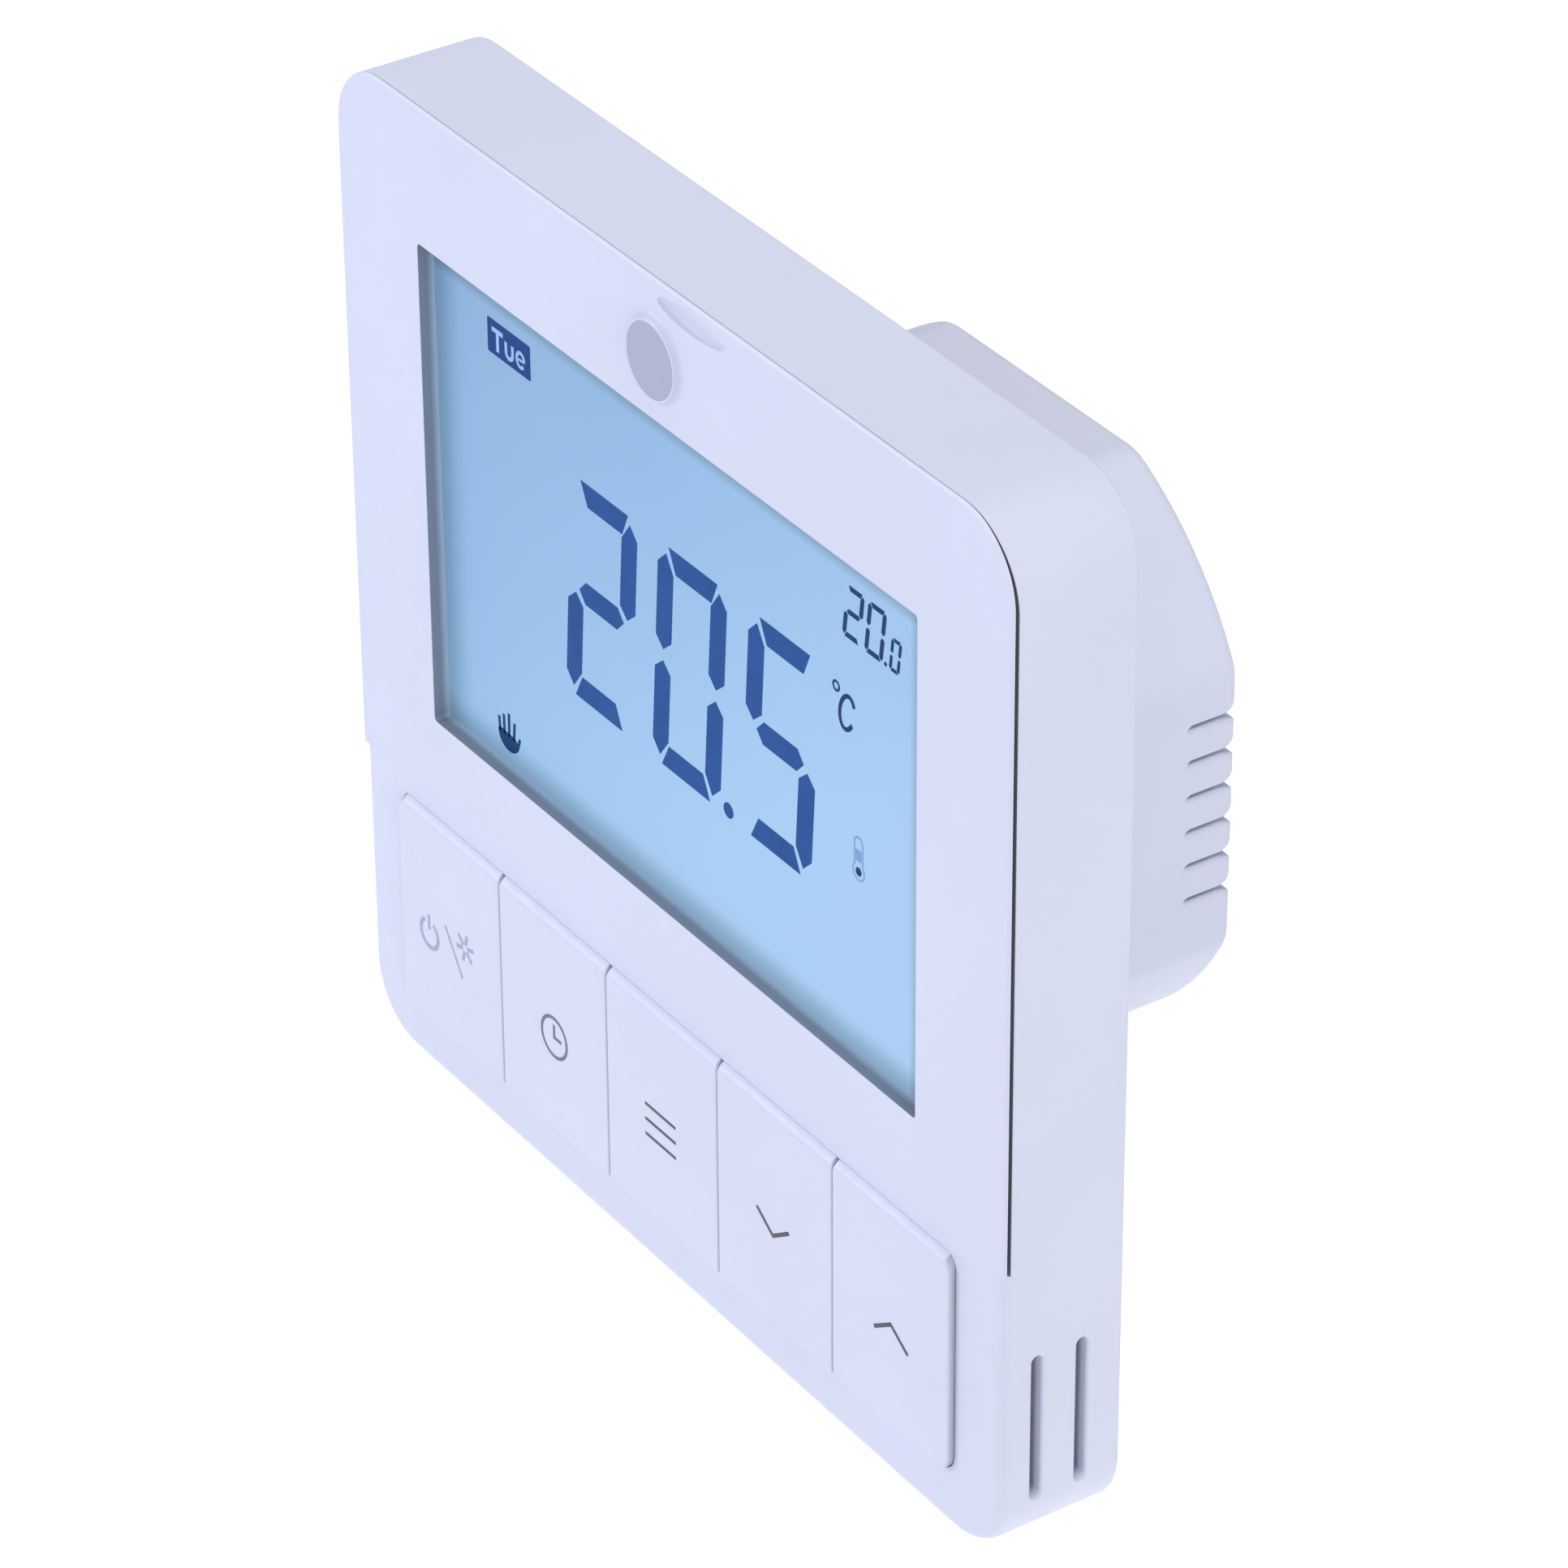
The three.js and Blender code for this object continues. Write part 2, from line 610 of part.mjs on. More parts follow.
function makeFrontBoard() {
  const outline = evenRect(
    -FRONT_BOARD_HALF_WIDTH, FRONT_BOARD_HALF_WIDTH,
    FRONT_BOARD_LOW_Z, FRONT_BOARD_HIGH_Z, BOARD_CORNER,
  );
  const holes = POSTS.map(([x, z]) => rodY(
    PILOT_RADIUS + FIT, FRONT_BOARD_Y - BEYOND, FRONT_BOARD_BACK_Y + BEYOND, x, z, SMALL_ROUND_SEGMENTS,
  ));
  const board = extrudeY(outline, FRONT_BOARD_Y, FRONT_BOARD_BACK_Y);
  addPiece('front_board', cutBy(board, holes), BOARD_GREEN);
  const length = BOARD_THICKNESS + PILOT_DEPTH - SCREW_TIP_ROOM;
  POSTS.forEach(([x, z], index) => {
    const screw = panScrew(x, z, FRONT_BOARD_BACK_Y, length, 1);
    addPiece(`board_screw_${POST_NAMES[index]}`, screw, STEEL);
  });
}

// A flat chip package with its rows of legs joined into one strip on each side.
function makeMicrocontroller() {
  const { x, z, half, height, legReach, legInset, legHeight } = CHIP;
  const from = FRONT_BOARD_BACK_Y;
  const reach = half + legReach;
  const legs = half - legInset;
  addPiece('microcontroller', joined([
    block([x - half, from, z - half], [x + half, from + height, z + half]),
    block([x - reach, from, z - legs], [x + reach, from + legHeight, z + legs]),
    block([x - legs, from, z - reach], [x + legs, from + legHeight, z + reach]),
  ]), CHIP_BLACK);
}

function makeCrystal() {
  const { x, z, halfX, halfZ, height } = CRYSTAL;
  const from = FRONT_BOARD_BACK_Y;
  const can = block([x - halfX, from, z - halfZ], [x + halfX, from + height, z + halfZ]);
  addPiece('clock_crystal', can, STEEL);
}

function makeBackupCell() {
  const { x, z, radius, height } = CELL;
  const cell = rodY(radius, FRONT_BOARD_BACK_Y, FRONT_BOARD_BACK_Y + height, x, z);
  addPiece('backup_cell', cell, CELL_STEEL);
}

// The sensor bead stands on two leads at the board's edge, in the air from the side vents.
function makeSensor() {
  const { lowX, thickness, halfZ, frontY, backY, leadFromX, leadHalf, leadSpread } = SENSOR;
  const z = VENT_CENTRE_Z;
  const bead = block([lowX, frontY, z - halfZ], [lowX + thickness, backY, z + halfZ]);
  const leadX = lowX + leadFromX;
  const leads = [-leadSpread, leadSpread].map((offset) => block(
    [leadX, backY - FIT, z + offset - leadHalf],
    [leadX + 2 * leadHalf, FRONT_BOARD_Y, z + offset + leadHalf],
  ));
  addPiece('room_sensor', joined([bead, ...leads]), SENSOR_BEAD);
}

function pinXs() {
  const first = -(PLUG_PINS - 1) / 2 * PLUG_PIN_PITCH;
  return Array.from({ length: PLUG_PINS }, (_, index) => first + index * PLUG_PIN_PITCH);
}

function makePlug() {
  const body = block(
    [-PLUG_HALF_WIDTH, FRONT_BOARD_BACK_Y, PLUG_Z - PLUG_HALF_DEPTH],
    [PLUG_HALF_WIDTH, PLUG_BACK_Y, PLUG_Z + PLUG_HALF_DEPTH],
  );
  const pins = pinXs().map((x) => block(
    [x - PIN_HALF, PLUG_BACK_Y - FIT, PLUG_Z - PIN_HALF],
    [x + PIN_HALF, PIN_END_Y, PLUG_Z + PIN_HALF],
  ));
  addPiece('board_plug', joined([body, ...pins]), CONNECTOR_BLACK);
}

function makeSocket() {
  const front = PLUG_BACK_Y + SOCKET_GAP;
  const stock = block(
    [-PLUG_HALF_WIDTH, front, PLUG_Z - PLUG_HALF_DEPTH],
    [PLUG_HALF_WIDTH, POWER_BOARD_Y, PLUG_Z + PLUG_HALF_DEPTH],
  );
  const half = PIN_HALF + CONTACT_ROOM;
  const contacts = pinXs().map((x) => block(
    [x - half, front - BEYOND, PLUG_Z - half],
    [x + half, PIN_END_Y + CONTACT_END_ROOM, PLUG_Z + half],
  ));
  addPiece('board_socket', cutBy(stock, contacts), CONNECTOR_BLACK);
}

// ---------------------------------------------------------------- base: plate and rear box

// Comb slots through the rear edge of both side flats, for the heat of the power board.
function boxSlotCutters() {
  const inner = BOX_HALF_FLATS - BOX_SLOT_REACH;
  const outer = BOX_HALF_FLATS + BEYOND;
  const lowest = BOX_SLOT_CENTRE_Z - (BOX_SLOT_COUNT - 1) / 2 * BOX_SLOT_PITCH - BOX_SLOT_HEIGHT / 2;
  const cutters = [];
  for (let index = 0; index < BOX_SLOT_COUNT; index += 1) {
    const low = lowest + index * BOX_SLOT_PITCH;
    for (const side of [-1, 1]) {
      cutters.push(block(
        [side * inner, BOX_DEPTH - BOX_SLOT_LENGTH, low],
        [side * outer, BOX_DEPTH + BEYOND, low + BOX_SLOT_HEIGHT],
      ));
    }
  }
  return cutters;
}

// Level slots for the two screws of the wall box.
function fixingCutters() {
  return [-1, 1].map((side) => {
    const x = side * FIXING_SPACING / 2;
    const slot = evenRect(
      x - FIXING_LENGTH / 2, x + FIXING_LENGTH / 2,
      -FIXING_WIDTH / 2, FIXING_WIDTH / 2, FIXING_WIDTH / 2,
    );
    return extrudeY(slot, -BASE_THICKNESS - BEYOND, BEYOND);
  });
}

// A sunk seat round each slot, so that the head of the screw stays clear of the front board.
function seatCutters() {
  return [-1, 1].map((side) => {
    const x = side * FIXING_SPACING / 2;
    const seat = evenRect(
      x - SEAT_HALF_WIDTH, x + SEAT_HALF_WIDTH, -SEAT_HALF_HEIGHT, SEAT_HALF_HEIGHT, SEAT_CORNER,
    );
    return extrudeY(seat, -BASE_THICKNESS - BEYOND, -BASE_THICKNESS + SEAT_DEPTH);
  });
}

// Notches in the base plate that the cover's snap ribs drop into.
function ribNotches() {
  const half = RIB_HALF_LENGTH + NOTCH_ROOM;
  return [-1, 1].map((side) => block(
    [-half, RIB_LOW_Y - NOTCH_FRONT_ROOM, side * (PLATE_HALF - NOTCH_DEPTH)],
    [half, BEYOND, side * (PLATE_HALF + BEYOND)],
  ));
}

function terminalOpening() {
  const half = BLOCK_HALF_WIDTH + BLOCK_OPENING_GAP;
  return block(
    [-half, POWER_BOARD_BACK_Y + BLOCK_OPENING_FROM, -BOX_RADIUS - BEYOND],
    [half, BOX_DEPTH + BEYOND, BLOCK_HIGH_Z + BLOCK_OPENING_GAP],
  );
}

function boxShell() {
  const plate = extrudeY(roundedSquare(PLATE_HALF, CAVITY_CORNER - BASE_GAP), -BASE_THICKNESS, 0);
  const outline = flattedCircle(BOX_RADIUS, BOX_HALF_FLATS);
  const box = extrudeY(outline, -BASE_THICKNESS - BOX_EDGE, BOX_DEPTH, BOX_EDGE);
  const far = COVER_SIZE;
  const inFrontOfPlate = block([-far, -far, -far], [far, -BASE_THICKNESS, far]);
  const hollow = extrudeY(
    flattedCircle(BOX_INNER_RADIUS, BOX_INNER_HALF_FLATS),
    -BASE_THICKNESS - BEYOND,
    BOX_INNER_Y,
  );
  return cutBy(plate.add(box), [inFrontOfPlate, hollow]);
}

function boxPosts() {
  return BOX_POSTS.map(([x, z]) => (
    rodY(BOX_POST_RADIUS, POWER_BOARD_BACK_Y, BOX_INNER_Y + FIT, x, z, SMALL_ROUND_SEGMENTS)
  ));
}

function boxPilots() {
  const from = POWER_BOARD_BACK_Y;
  return BOX_POSTS.map(([x, z]) => (
    rodY(PILOT_RADIUS, from - BEYOND, from + BOX_PILOT_DEPTH, x, z, SMALL_ROUND_SEGMENTS)
  ));
}

function makeBase() {
  const base = cutBy(joined([boxShell(), ...boxPosts()]), [
    ...seatCutters(),
    ...boxPilots(),
    terminalOpening(),
    ...boxSlotCutters(),
    ...fixingCutters(),
    ...ribNotches(),
  ]);
  addPiece('rear_housing', base, BOX_PLASTIC);
}

// The cover over the mains side, with a slot for the socket.
function makeInnerCover() {
  const gap = INNER_COVER_GAP;
  const outline = flattedCircle(BOX_INNER_RADIUS - gap, BOX_INNER_HALF_FLATS - gap);
  const rearY = INNER_COVER_Y + INNER_COVER_THICKNESS;
  const slot = block(
    [-PLUG_HALF_WIDTH - gap, INNER_COVER_Y - BEYOND, PLUG_Z - PLUG_HALF_DEPTH - gap],
    [PLUG_HALF_WIDTH + gap, rearY + BEYOND, PLUG_Z + PLUG_HALF_DEPTH + gap],
  );
  addPiece('inner_cover', extrudeY(outline, INNER_COVER_Y, rearY).subtract(slot), INNER_COVER_GREY);
}

// ---------------------------------------------------------------- power board and what is on it

function makePowerBoard() {
  const gap = POWER_BOARD_GAP;
  const outline = flattedCircle(BOX_INNER_RADIUS - gap, BOX_INNER_HALF_FLATS - gap);
  const holes = BOX_POSTS.map(([x, z]) => rodY(
    PILOT_RADIUS + FIT, POWER_BOARD_Y - BEYOND, POWER_BOARD_BACK_Y + BEYOND, x, z, SMALL_ROUND_SEGMENTS,
  ));
  const board = extrudeY(outline, POWER_BOARD_Y, POWER_BOARD_BACK_Y);
  addPiece('power_board', cutBy(board, holes), BOARD_GREEN);
  const length = BOARD_THICKNESS + BOX_PILOT_DEPTH - SCREW_TIP_ROOM;
  BOX_POSTS.forEach(([x, z], index) => {
    const screw = panScrew(x, z, POWER_BOARD_Y, length, -1);
    addPiece(`power_board_screw_${BOX_POST_NAMES[index]}`, screw, STEEL);
  });
}

// A box-shaped part that stands on the rear side of the power board.
function standingBlock({ low, high, height }) {
  const from = POWER_BOARD_BACK_Y;
  return block([low[0], from, low[1]], [high[0], from + height, high[1]]);
}

// A round part that stands on the rear side of the power board.
function standingRod({ x, z, radius, height }) {
  return rodY(radius, POWER_BOARD_BACK_Y, POWER_BOARD_BACK_Y + height, x, z);
}

// A coated disc that stands on its edge, on a short foot where the leads leave it.
function makeVaristor() {
  const { x, z, radius, thickness, stand, footHalfX, footHalfZ, footHeight } = VARISTOR;
  const from = POWER_BOARD_BACK_Y;
  const disc = new THREE.CylinderGeometry(radius, radius, thickness, ROUND_SEGMENTS);
  disc.rotateX(Math.PI / 2);
  disc.translate(x, from + radius + stand, z);
  const foot = block(
    [x - footHalfX, from, z - footHalfZ],
    [x + footHalfX, from + footHeight, z + footHalfZ],
  );
  addPiece('varistor', toSolid(disc).add(foot), VARISTOR_BLUE);
}

function makePowerParts() {
  addPiece('relay', standingBlock(RELAY), RELAY_BLUE);
  addPiece('mains_capacitor', standingBlock(MAINS_CAPACITOR), CAPACITOR_YELLOW);
  addPiece('smoothing_capacitor', standingRod(SMOOTHING_CAPACITOR), CAPACITOR_BLACK);
  addPiece('fuse', standingRod(FUSE), FUSE_BROWN);
  makeVaristor();
}

function terminalXs() {
  const first = -(BLOCK_WAYS - 1) / 2 * BLOCK_PITCH;
  return Array.from({ length: BLOCK_WAYS }, (_, way) => first + way * BLOCK_PITCH);
}

// Terminal block: wires go in from below, and the clamp screws face the rear.
function makeTerminalBlock() {
  const body = block(
    [-BLOCK_HALF_WIDTH, POWER_BOARD_BACK_Y, BLOCK_LOW_Z],
    [BLOCK_HALF_WIDTH, BLOCK_REAR_Y, BLOCK_HIGH_Z],
  );
  const half = WIRE_HOLE / 2;
  const cutters = terminalXs().flatMap((x) => [
    block(
      [x - half, WIRE_Y - half, BLOCK_LOW_Z - BEYOND],
      [x + half, WIRE_Y + half, CLAMP_Z + CLAMP_WELL_RADIUS],
    ),
    rodY(CLAMP_WELL_RADIUS, WIRE_Y, BLOCK_REAR_Y + BEYOND, x, CLAMP_Z, SMALL_ROUND_SEGMENTS),
  ]);
  addPiece('terminal_block', cutBy(body, cutters), BLOCK_GREY);
}

function makeClampScrews() {
  const radius = CLAMP_WELL_RADIUS - SCREW_CLEARANCE;
  const front = WIRE_Y + WIRE_HOLE / 2 + CLAMP_SCREW_ROOM;
  const back = BLOCK_REAR_Y - CLAMP_SCREW_SUNK;
  terminalXs().forEach((x, way) => {
    const slot = block(
      [x - CLAMP_WELL_RADIUS, back - CLAMP_SLOT_DEPTH, CLAMP_Z - CLAMP_SLOT_WIDTH / 2],
      [x + CLAMP_WELL_RADIUS, back + BEYOND, CLAMP_Z + CLAMP_SLOT_WIDTH / 2],
    );
    const screw = rodY(radius, front, back, x, CLAMP_Z, SMALL_ROUND_SEGMENTS).subtract(slot);
    addPiece(`clamp_screw_${way + 1}`, screw, STEEL);
  });
}

// ---------------------------------------------------------------- assembly

makeCover();
makeBadge();
KEY_NAMES.forEach(makeKey);
KEY_NAMES.forEach(makeSwitch);
makeDisplayGlass();
makeLightGuide();
makeDisplayFrame();
makeContactStrip();
makeLamps();
makeFrontBoard();
makeMicrocontroller();
makeCrystal();
makeBackupCell();
makeSensor();
makePlug();
makeSocket();
makeBase();
makeInnerCover();
makePowerBoard();
makePowerParts();
makeTerminalBlock();
makeClampScrews();

export default thermostat;
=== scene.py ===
import json
import math

import bmesh
import bpy
from mathutils import Euler, Matrix, Vector


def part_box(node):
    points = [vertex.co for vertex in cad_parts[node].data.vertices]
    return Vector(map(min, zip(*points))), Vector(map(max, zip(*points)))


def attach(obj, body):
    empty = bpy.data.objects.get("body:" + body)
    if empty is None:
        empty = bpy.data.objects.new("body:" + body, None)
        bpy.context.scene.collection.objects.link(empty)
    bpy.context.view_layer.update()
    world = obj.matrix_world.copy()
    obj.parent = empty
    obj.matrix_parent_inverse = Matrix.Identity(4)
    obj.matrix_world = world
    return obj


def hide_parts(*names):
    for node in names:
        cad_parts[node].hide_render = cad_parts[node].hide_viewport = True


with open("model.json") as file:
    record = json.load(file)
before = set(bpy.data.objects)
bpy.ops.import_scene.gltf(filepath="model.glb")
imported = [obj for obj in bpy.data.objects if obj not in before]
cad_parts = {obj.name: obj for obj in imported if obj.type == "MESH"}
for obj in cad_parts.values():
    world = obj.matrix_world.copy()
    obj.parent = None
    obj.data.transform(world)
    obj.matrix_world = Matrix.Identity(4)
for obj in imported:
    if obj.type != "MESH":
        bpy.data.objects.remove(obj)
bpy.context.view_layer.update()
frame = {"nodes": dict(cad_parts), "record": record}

# Wall thermostat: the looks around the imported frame.
# Sizes here are in millimetres, and each mesh is scaled to metres when its object is made.
# +Z is up, +X is to the right seen from the front, and the front faces -Y.

MM = 0.001

# ---------------- sizes that the frame doesn't give

# The cover. Its edge is nearly sharp above the end of the shadow groove, and soft below it.
COVER_CORNER = 6.0
COVER_WALL = 1.8
UPPER_EDGE = 0.25
LOWER_EDGE = 1.2
REAR_EDGE = 0.25
RIM_CHAMFER = 0.15
GROOVE_WIDTH = 0.34
GROOVE_TOP_WIDTH = 0.075
GROOVE_DEPTH = 0.7
GROOVE_LIP = 0.04
GROOVE_BOTTOM_Z = -17.0
GROOVE_END = 0.02

WINDOW_HALF_WIDTH = 32.07
WINDOW_LOW_Z = -9.65
WINDOW_HIGH_Z = 31.6
WINDOW_CORNER = 0.35
WINDOW_EDGE = 0.05

# The keys. GROW is how much a cap is larger than its CAD box on that side, and the brow is the
# slope from a cap's front back to the face along its top.
KEY_GAP = 0.09
KEY_TOP_GAP = 0.008
KEY_GROW = 0.13
KEY_OUTER_GROW = -0.2
KEY_OUTER_CORNER = 1.7
KEY_TOP_CORNER = 1.0
KEY_INNER_CORNER = 0.3
KEY_EDGE = 0.26
KEY_BROW = 0.9
KEY_BROW_DEPTH = 0.57
KEY_BROW_SHARE = 0.7
KEY_ROW_EDGE = 0.02
KEY_FLANK_TILT = 0.3
KEY_LIP = 0.8
KEY_LIP_Y = 1.5
KEY_LIP_CORNER = 0.2
KEY_CORNER_STEPS = 8

BADGE_FACE_RADIUS = 3.0
BADGE_PRINT_RADIUS = 2.95
BADGE_CENTRE_RADIUS = 0.2
BADGE_FLANK_STEPS = 8
BADGE_BACK_GAP = 0.02

# The oval hollow under the top edge
DIMPLE_HALF_LENGTH = 4.3
DIMPLE_HALF_HEIGHT = 0.9
DIMPLE_DEPTH = 0.5
DIMPLE_X = 4.7
DIMPLE_SHIFT = 2.2
DIMPLE_Z = 41.5
DIMPLE_SHARES = (1.0, 0.96, 0.88, 0.76, 0.6, 0.42, 0.22)

# The slots low in the sides
VENT_WIDTH = 0.9
VENT_HALF_LENGTH = 6.3
VENT_CENTRE_Z = -31.3
VENT_YS = (-7.33, -3.43)
VENT_EDGE = 0.32
VENT_SHADE_FROM = 0.75
VENT_SHADE_TO = 1.15

DISPLAY_CORNER = 0.4
DISPLAY_CHAMFER = 0.12

BASE_THICKNESS = 2.0
BASE_CORNER = 3.8
FIXING_X = 30.0
FIXING_HALF_LENGTH = 4.0
FIXING_HALF_WIDTH = 2.2
SEAT_DEPTH = 0.7
SEAT_HALF_WIDTH = 6.8
SEAT_HALF_HEIGHT = 5.4
SEAT_CORNER = 1.5
NOTCH_HALF_LENGTH = 9.0
NOTCH_DEPTH = 1.2
NOTCH_Y = -1.3

BOX_RADIUS = 26.7
BOX_HALF_FLATS = 24.1
BOX_WALL = 1.7
BOX_EDGE = 1.0
BOX_FILLET = 4.0
BOX_OPENING_Y = 11.6
BOX_OPENING_GAP = 0.4
HOUSING_BEVEL = 0.14

# The comb slots. The flare is how much wider a slot is at each distance from the rear face.
BOX_SLOT_COUNT = 6
BOX_SLOT_PITCH = 2.95
BOX_SLOT_HEIGHT = 0.9
BOX_SLOT_SLOPE = 0.5
BOX_SLOT_MOUTH = 0.22
BOX_SLOT_LENGTH = 4.6
BOX_SLOT_REACH = 3.6
BOX_SLOT_CENTRE_Z = 0.45
BOX_SLOT_FLARE = (
    (-BOX_SLOT_LENGTH, -0.2), (0.4 - BOX_SLOT_LENGTH, 0.0), (-1.5, 0.0), (-1.05, 0.08),
    (-0.7, 0.22), (-0.35, 0.45), (0.0, 0.75), (1.0, 1.7),
)

# Printed symbols and display marks are thin plates.
SYMBOL_THICKNESS = 0.015
MARK_THICKNESS = 0.02
MITRE_LIMIT = 0.3

# PAST is how far a cutter reaches past a surface. NEAR is how close a face counts as on a wall.
PAST = 1.0
NEAR = 0.05
SMALLEST_RADIUS = 0.01

CORNER_STEPS = 14
SMALL_CORNER_STEPS = 5
EDGE_STEPS = 5
FINE_EDGE_STEPS = 3
ARC_STEPS = 16
FILLET_STEPS = 5
ROUND_STEPS = 48
VENT_STEPS = 12
SMOOTH_ANGLE = math.radians(32)
BEVEL_ANGLE = math.radians(40)


def box_mm(node):
    low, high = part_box(node)
    return low / MM, high / MM


cover_low, cover_high = box_mm("front_cover")
glass_low, glass_high = box_mm("display_glass")
_, housing_high = box_mm("rear_housing")
badge_low, badge_high = box_mm("badge")
_, block_high = box_mm("terminal_block")
key_low, key_high = box_mm("key_up")

FACE_Y = cover_low.y
FACE_BACK_Y = glass_low.y
COVER_HALF = cover_high.x
CAVITY_HALF = COVER_HALF - COVER_WALL
BADGE_RADIUS = badge_high.x
BADGE_Z = (badge_low.z + badge_high.z) / 2
KEY_NAMES = ("power", "clock", "menu", "down", "up")


# ---------------- mesh helpers


def arc(cx, cz, radius, start, end, steps):
    """Points (x, z) along an arc, both ends included. Angles are in degrees."""
    points = []
    for i in range(steps + 1):
        a = math.radians(start + (end - start) * i / steps)
        points.append((cx + radius * math.cos(a), cz + radius * math.sin(a)))
    return points


def ellipse(cx, cz, rx, rz, start=0, end=360, steps=32):
    return [(cx + rx * px, cz + rz * pz) for px, pz in arc(0, 0, 1, start, end, steps)]


def circle(cx, cz, radius, steps):
    """A closed circle, without its first point again at the end."""
    return ellipse(cx, cz, radius, radius, steps=steps)[:-1]


def rect_outline(x0, x1, z0, z1, radii, steps=CORNER_STEPS):
    """A rounded rectangle. The radii are lower left, lower right, upper right, upper left."""
    ll, lr, ur, ul = (max(r, SMALLEST_RADIUS) for r in radii)
    return (
        arc(x0 + ll, z0 + ll, ll, 180, 270, steps)
        + arc(x1 - lr, z0 + lr, lr, 270, 360, steps)
        + arc(x1 - ur, z1 - ur, ur, 0, 90, steps)
        + arc(x0 + ul, z1 - ul, ul, 90, 180, steps)
    )


def flatted_circle(radius, half_flats, fillet):
    """A circle with four flats, and a fillet where each flat meets the round."""
    cx = half_flats - fillet
    cz = math.sqrt((radius - fillet) ** 2 - cx * cx)
    turn = math.degrees(math.atan2(cz, cx))
    quarter = arc(cx, cz, fillet, 0, turn, FILLET_STEPS)
    quarter += arc(0, 0, radius, turn, 90 - turn, ARC_STEPS)[1:-1]
    quarter += arc(cz, cx, fillet, 90 - turn, 90, FILLET_STEPS)
    points = []
    for _ in range(4):
        points += quarter
        quarter = [(-z, x) for x, z in quarter]
    return points


def edge_profile(edge, steps=EDGE_STEPS):
    """(inset, depth) pairs of a rounded edge, from the flat face to the wall."""
    pairs = []
    for i in range(steps + 1):
        a = math.radians(90 * i / steps)
        pairs.append((edge * (1 - math.sin(a)), edge * (1 - math.cos(a))))
    return pairs


def add_ring(bm, outline, y):
    """One closed ring of vertices at depth y. An outline point may carry its own depth."""
    return [bm.verts.new((p[0], p[2] if len(p) > 2 else y, p[1])) for p in outline]


def bridge(bm, ring_a, ring_b):
    count = len(ring_a)
    for i in range(count):
        j = (i + 1) % count
        bm.faces.new((ring_a[i], ring_a[j], ring_b[j], ring_b[i]))


def add_stack(bm, rings):
    """Bridges a list of (outline, y) rings and returns their vertices."""
    made = [add_ring(bm, outline, y) for outline, y in rings]
    for a, b in zip(made, made[1:]):
        bridge(bm, a, b)
    return made


def add_solid(bm, rings):
    """A closed solid through a list of rings."""
    made = add_stack(bm, rings)
    bm.faces.new(made[0])
    bm.faces.new(made[-1])


def one_solid(rings):
    """A new mesh with one closed solid in it."""
    bm = bmesh.new()
    add_solid(bm, rings)
    return bm


def ring_edges(ring):
    edges = []
    for i, vert in enumerate(ring):
        after = ring[(i + 1) % len(ring)]
        edges.append(next(e for e in vert.link_edges if e.other_vert(vert) is after))
    return edges


def fill_between(bm, rings, normal):
    """Fills the flat area inside the first ring and outside the others."""
    edges = [edge for ring in rings for edge in ring_edges(ring)]
    bmesh.ops.triangle_fill(bm, use_beauty=True, use_dissolve=False, edges=edges, normal=normal)


def link_to_scene(obj):
    bpy.context.scene.collection.objects.link(obj)


def make_object(name, bm, materials, smooth=True):
    """Turns a bmesh drawn in millimetres into an object in metres."""
    bmesh.ops.remove_doubles(bm, verts=bm.verts, dist=1e-5)
    bmesh.ops.recalc_face_normals(bm, faces=bm.faces)
    bmesh.ops.scale(bm, vec=(MM, MM, MM), verts=bm.verts)
    mesh = bpy.data.meshes.new(name)
    bm.to_mesh(mesh)
    bm.free()
    for material in materials:
        mesh.materials.append(material)
    obj = bpy.data.objects.new(name, mesh)
    link_to_scene(obj)
    if smooth:
        shade_smooth(mesh)
    return obj


def shade_smooth(mesh):
    mesh.polygons.foreach_set("use_smooth", [True] * len(mesh.polygons))
    mesh.set_sharp_from_angle(angle=SMOOTH_ANGLE)


def apply_modifiers(obj):
    """Replaces the object's mesh by its evaluated one, with no modifiers left."""
    depsgraph = bpy.context.evaluated_depsgraph_get()
    mesh = bpy.data.meshes.new_from_object(obj.evaluated_get(depsgraph))
    obj.modifiers.clear()
    obj.data = mesh


def combine(obj, cutter_bm, operation):
    """Cuts or joins another closed mesh, drawn in millimetres, with the object."""
    tool = make_object("tool", cutter_bm, [], smooth=False)
    modifier = obj.modifiers.new("combine", "BOOLEAN")
    modifier.operation = operation
    modifier.object = tool
    modifier.solver = "EXACT"
    bpy.context.view_layer.update()
    apply_modifiers(obj)
    bpy.data.objects.remove(tool)


def soften(obj, width):
    """Rounds every sharp edge a little, and keeps the flats flat."""
    bevel = obj.modifiers.new("bevel", "BEVEL")
    bevel.width = width * MM
    bevel.segments = 2
    bevel.limit_method = "ANGLE"
    bevel.angle_limit = BEVEL_ANGLE
    bevel.miter_outer = "MITER_ARC"
    apply_modifiers(obj)


def even_normals(obj):
    """Shades curves smoothly without bending the light on the flats beside them."""
    shade_smooth(obj.data)
    weighted = obj.modifiers.new("normals", "WEIGHTED_NORMAL")
    weighted.weight = 100
    weighted.keep_sharp = True
    apply_modifiers(obj)


def place(obj, body, slot_name, *nodes):
    """Puts a finished piece on its body, and hides the CAD nodes that it stands for."""
    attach(obj, body)
    if nodes:
        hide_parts(*nodes)


def add_box(bm, low, high):
    outline = [(low[0], low[2]), (high[0], low[2]), (high[0], high[2]), (low[0], high[2])]
    add_solid(bm, [(outline, low[1]), (outline, high[1])])


def add_plate(bm, outline, y, thickness):
    """A thin closed plate that stands proud of the surface at y, and is sunk a little in it."""
    add_solid(bm, [(outline, y - thickness), (outline, y + thickness)])


# ---------------- materials


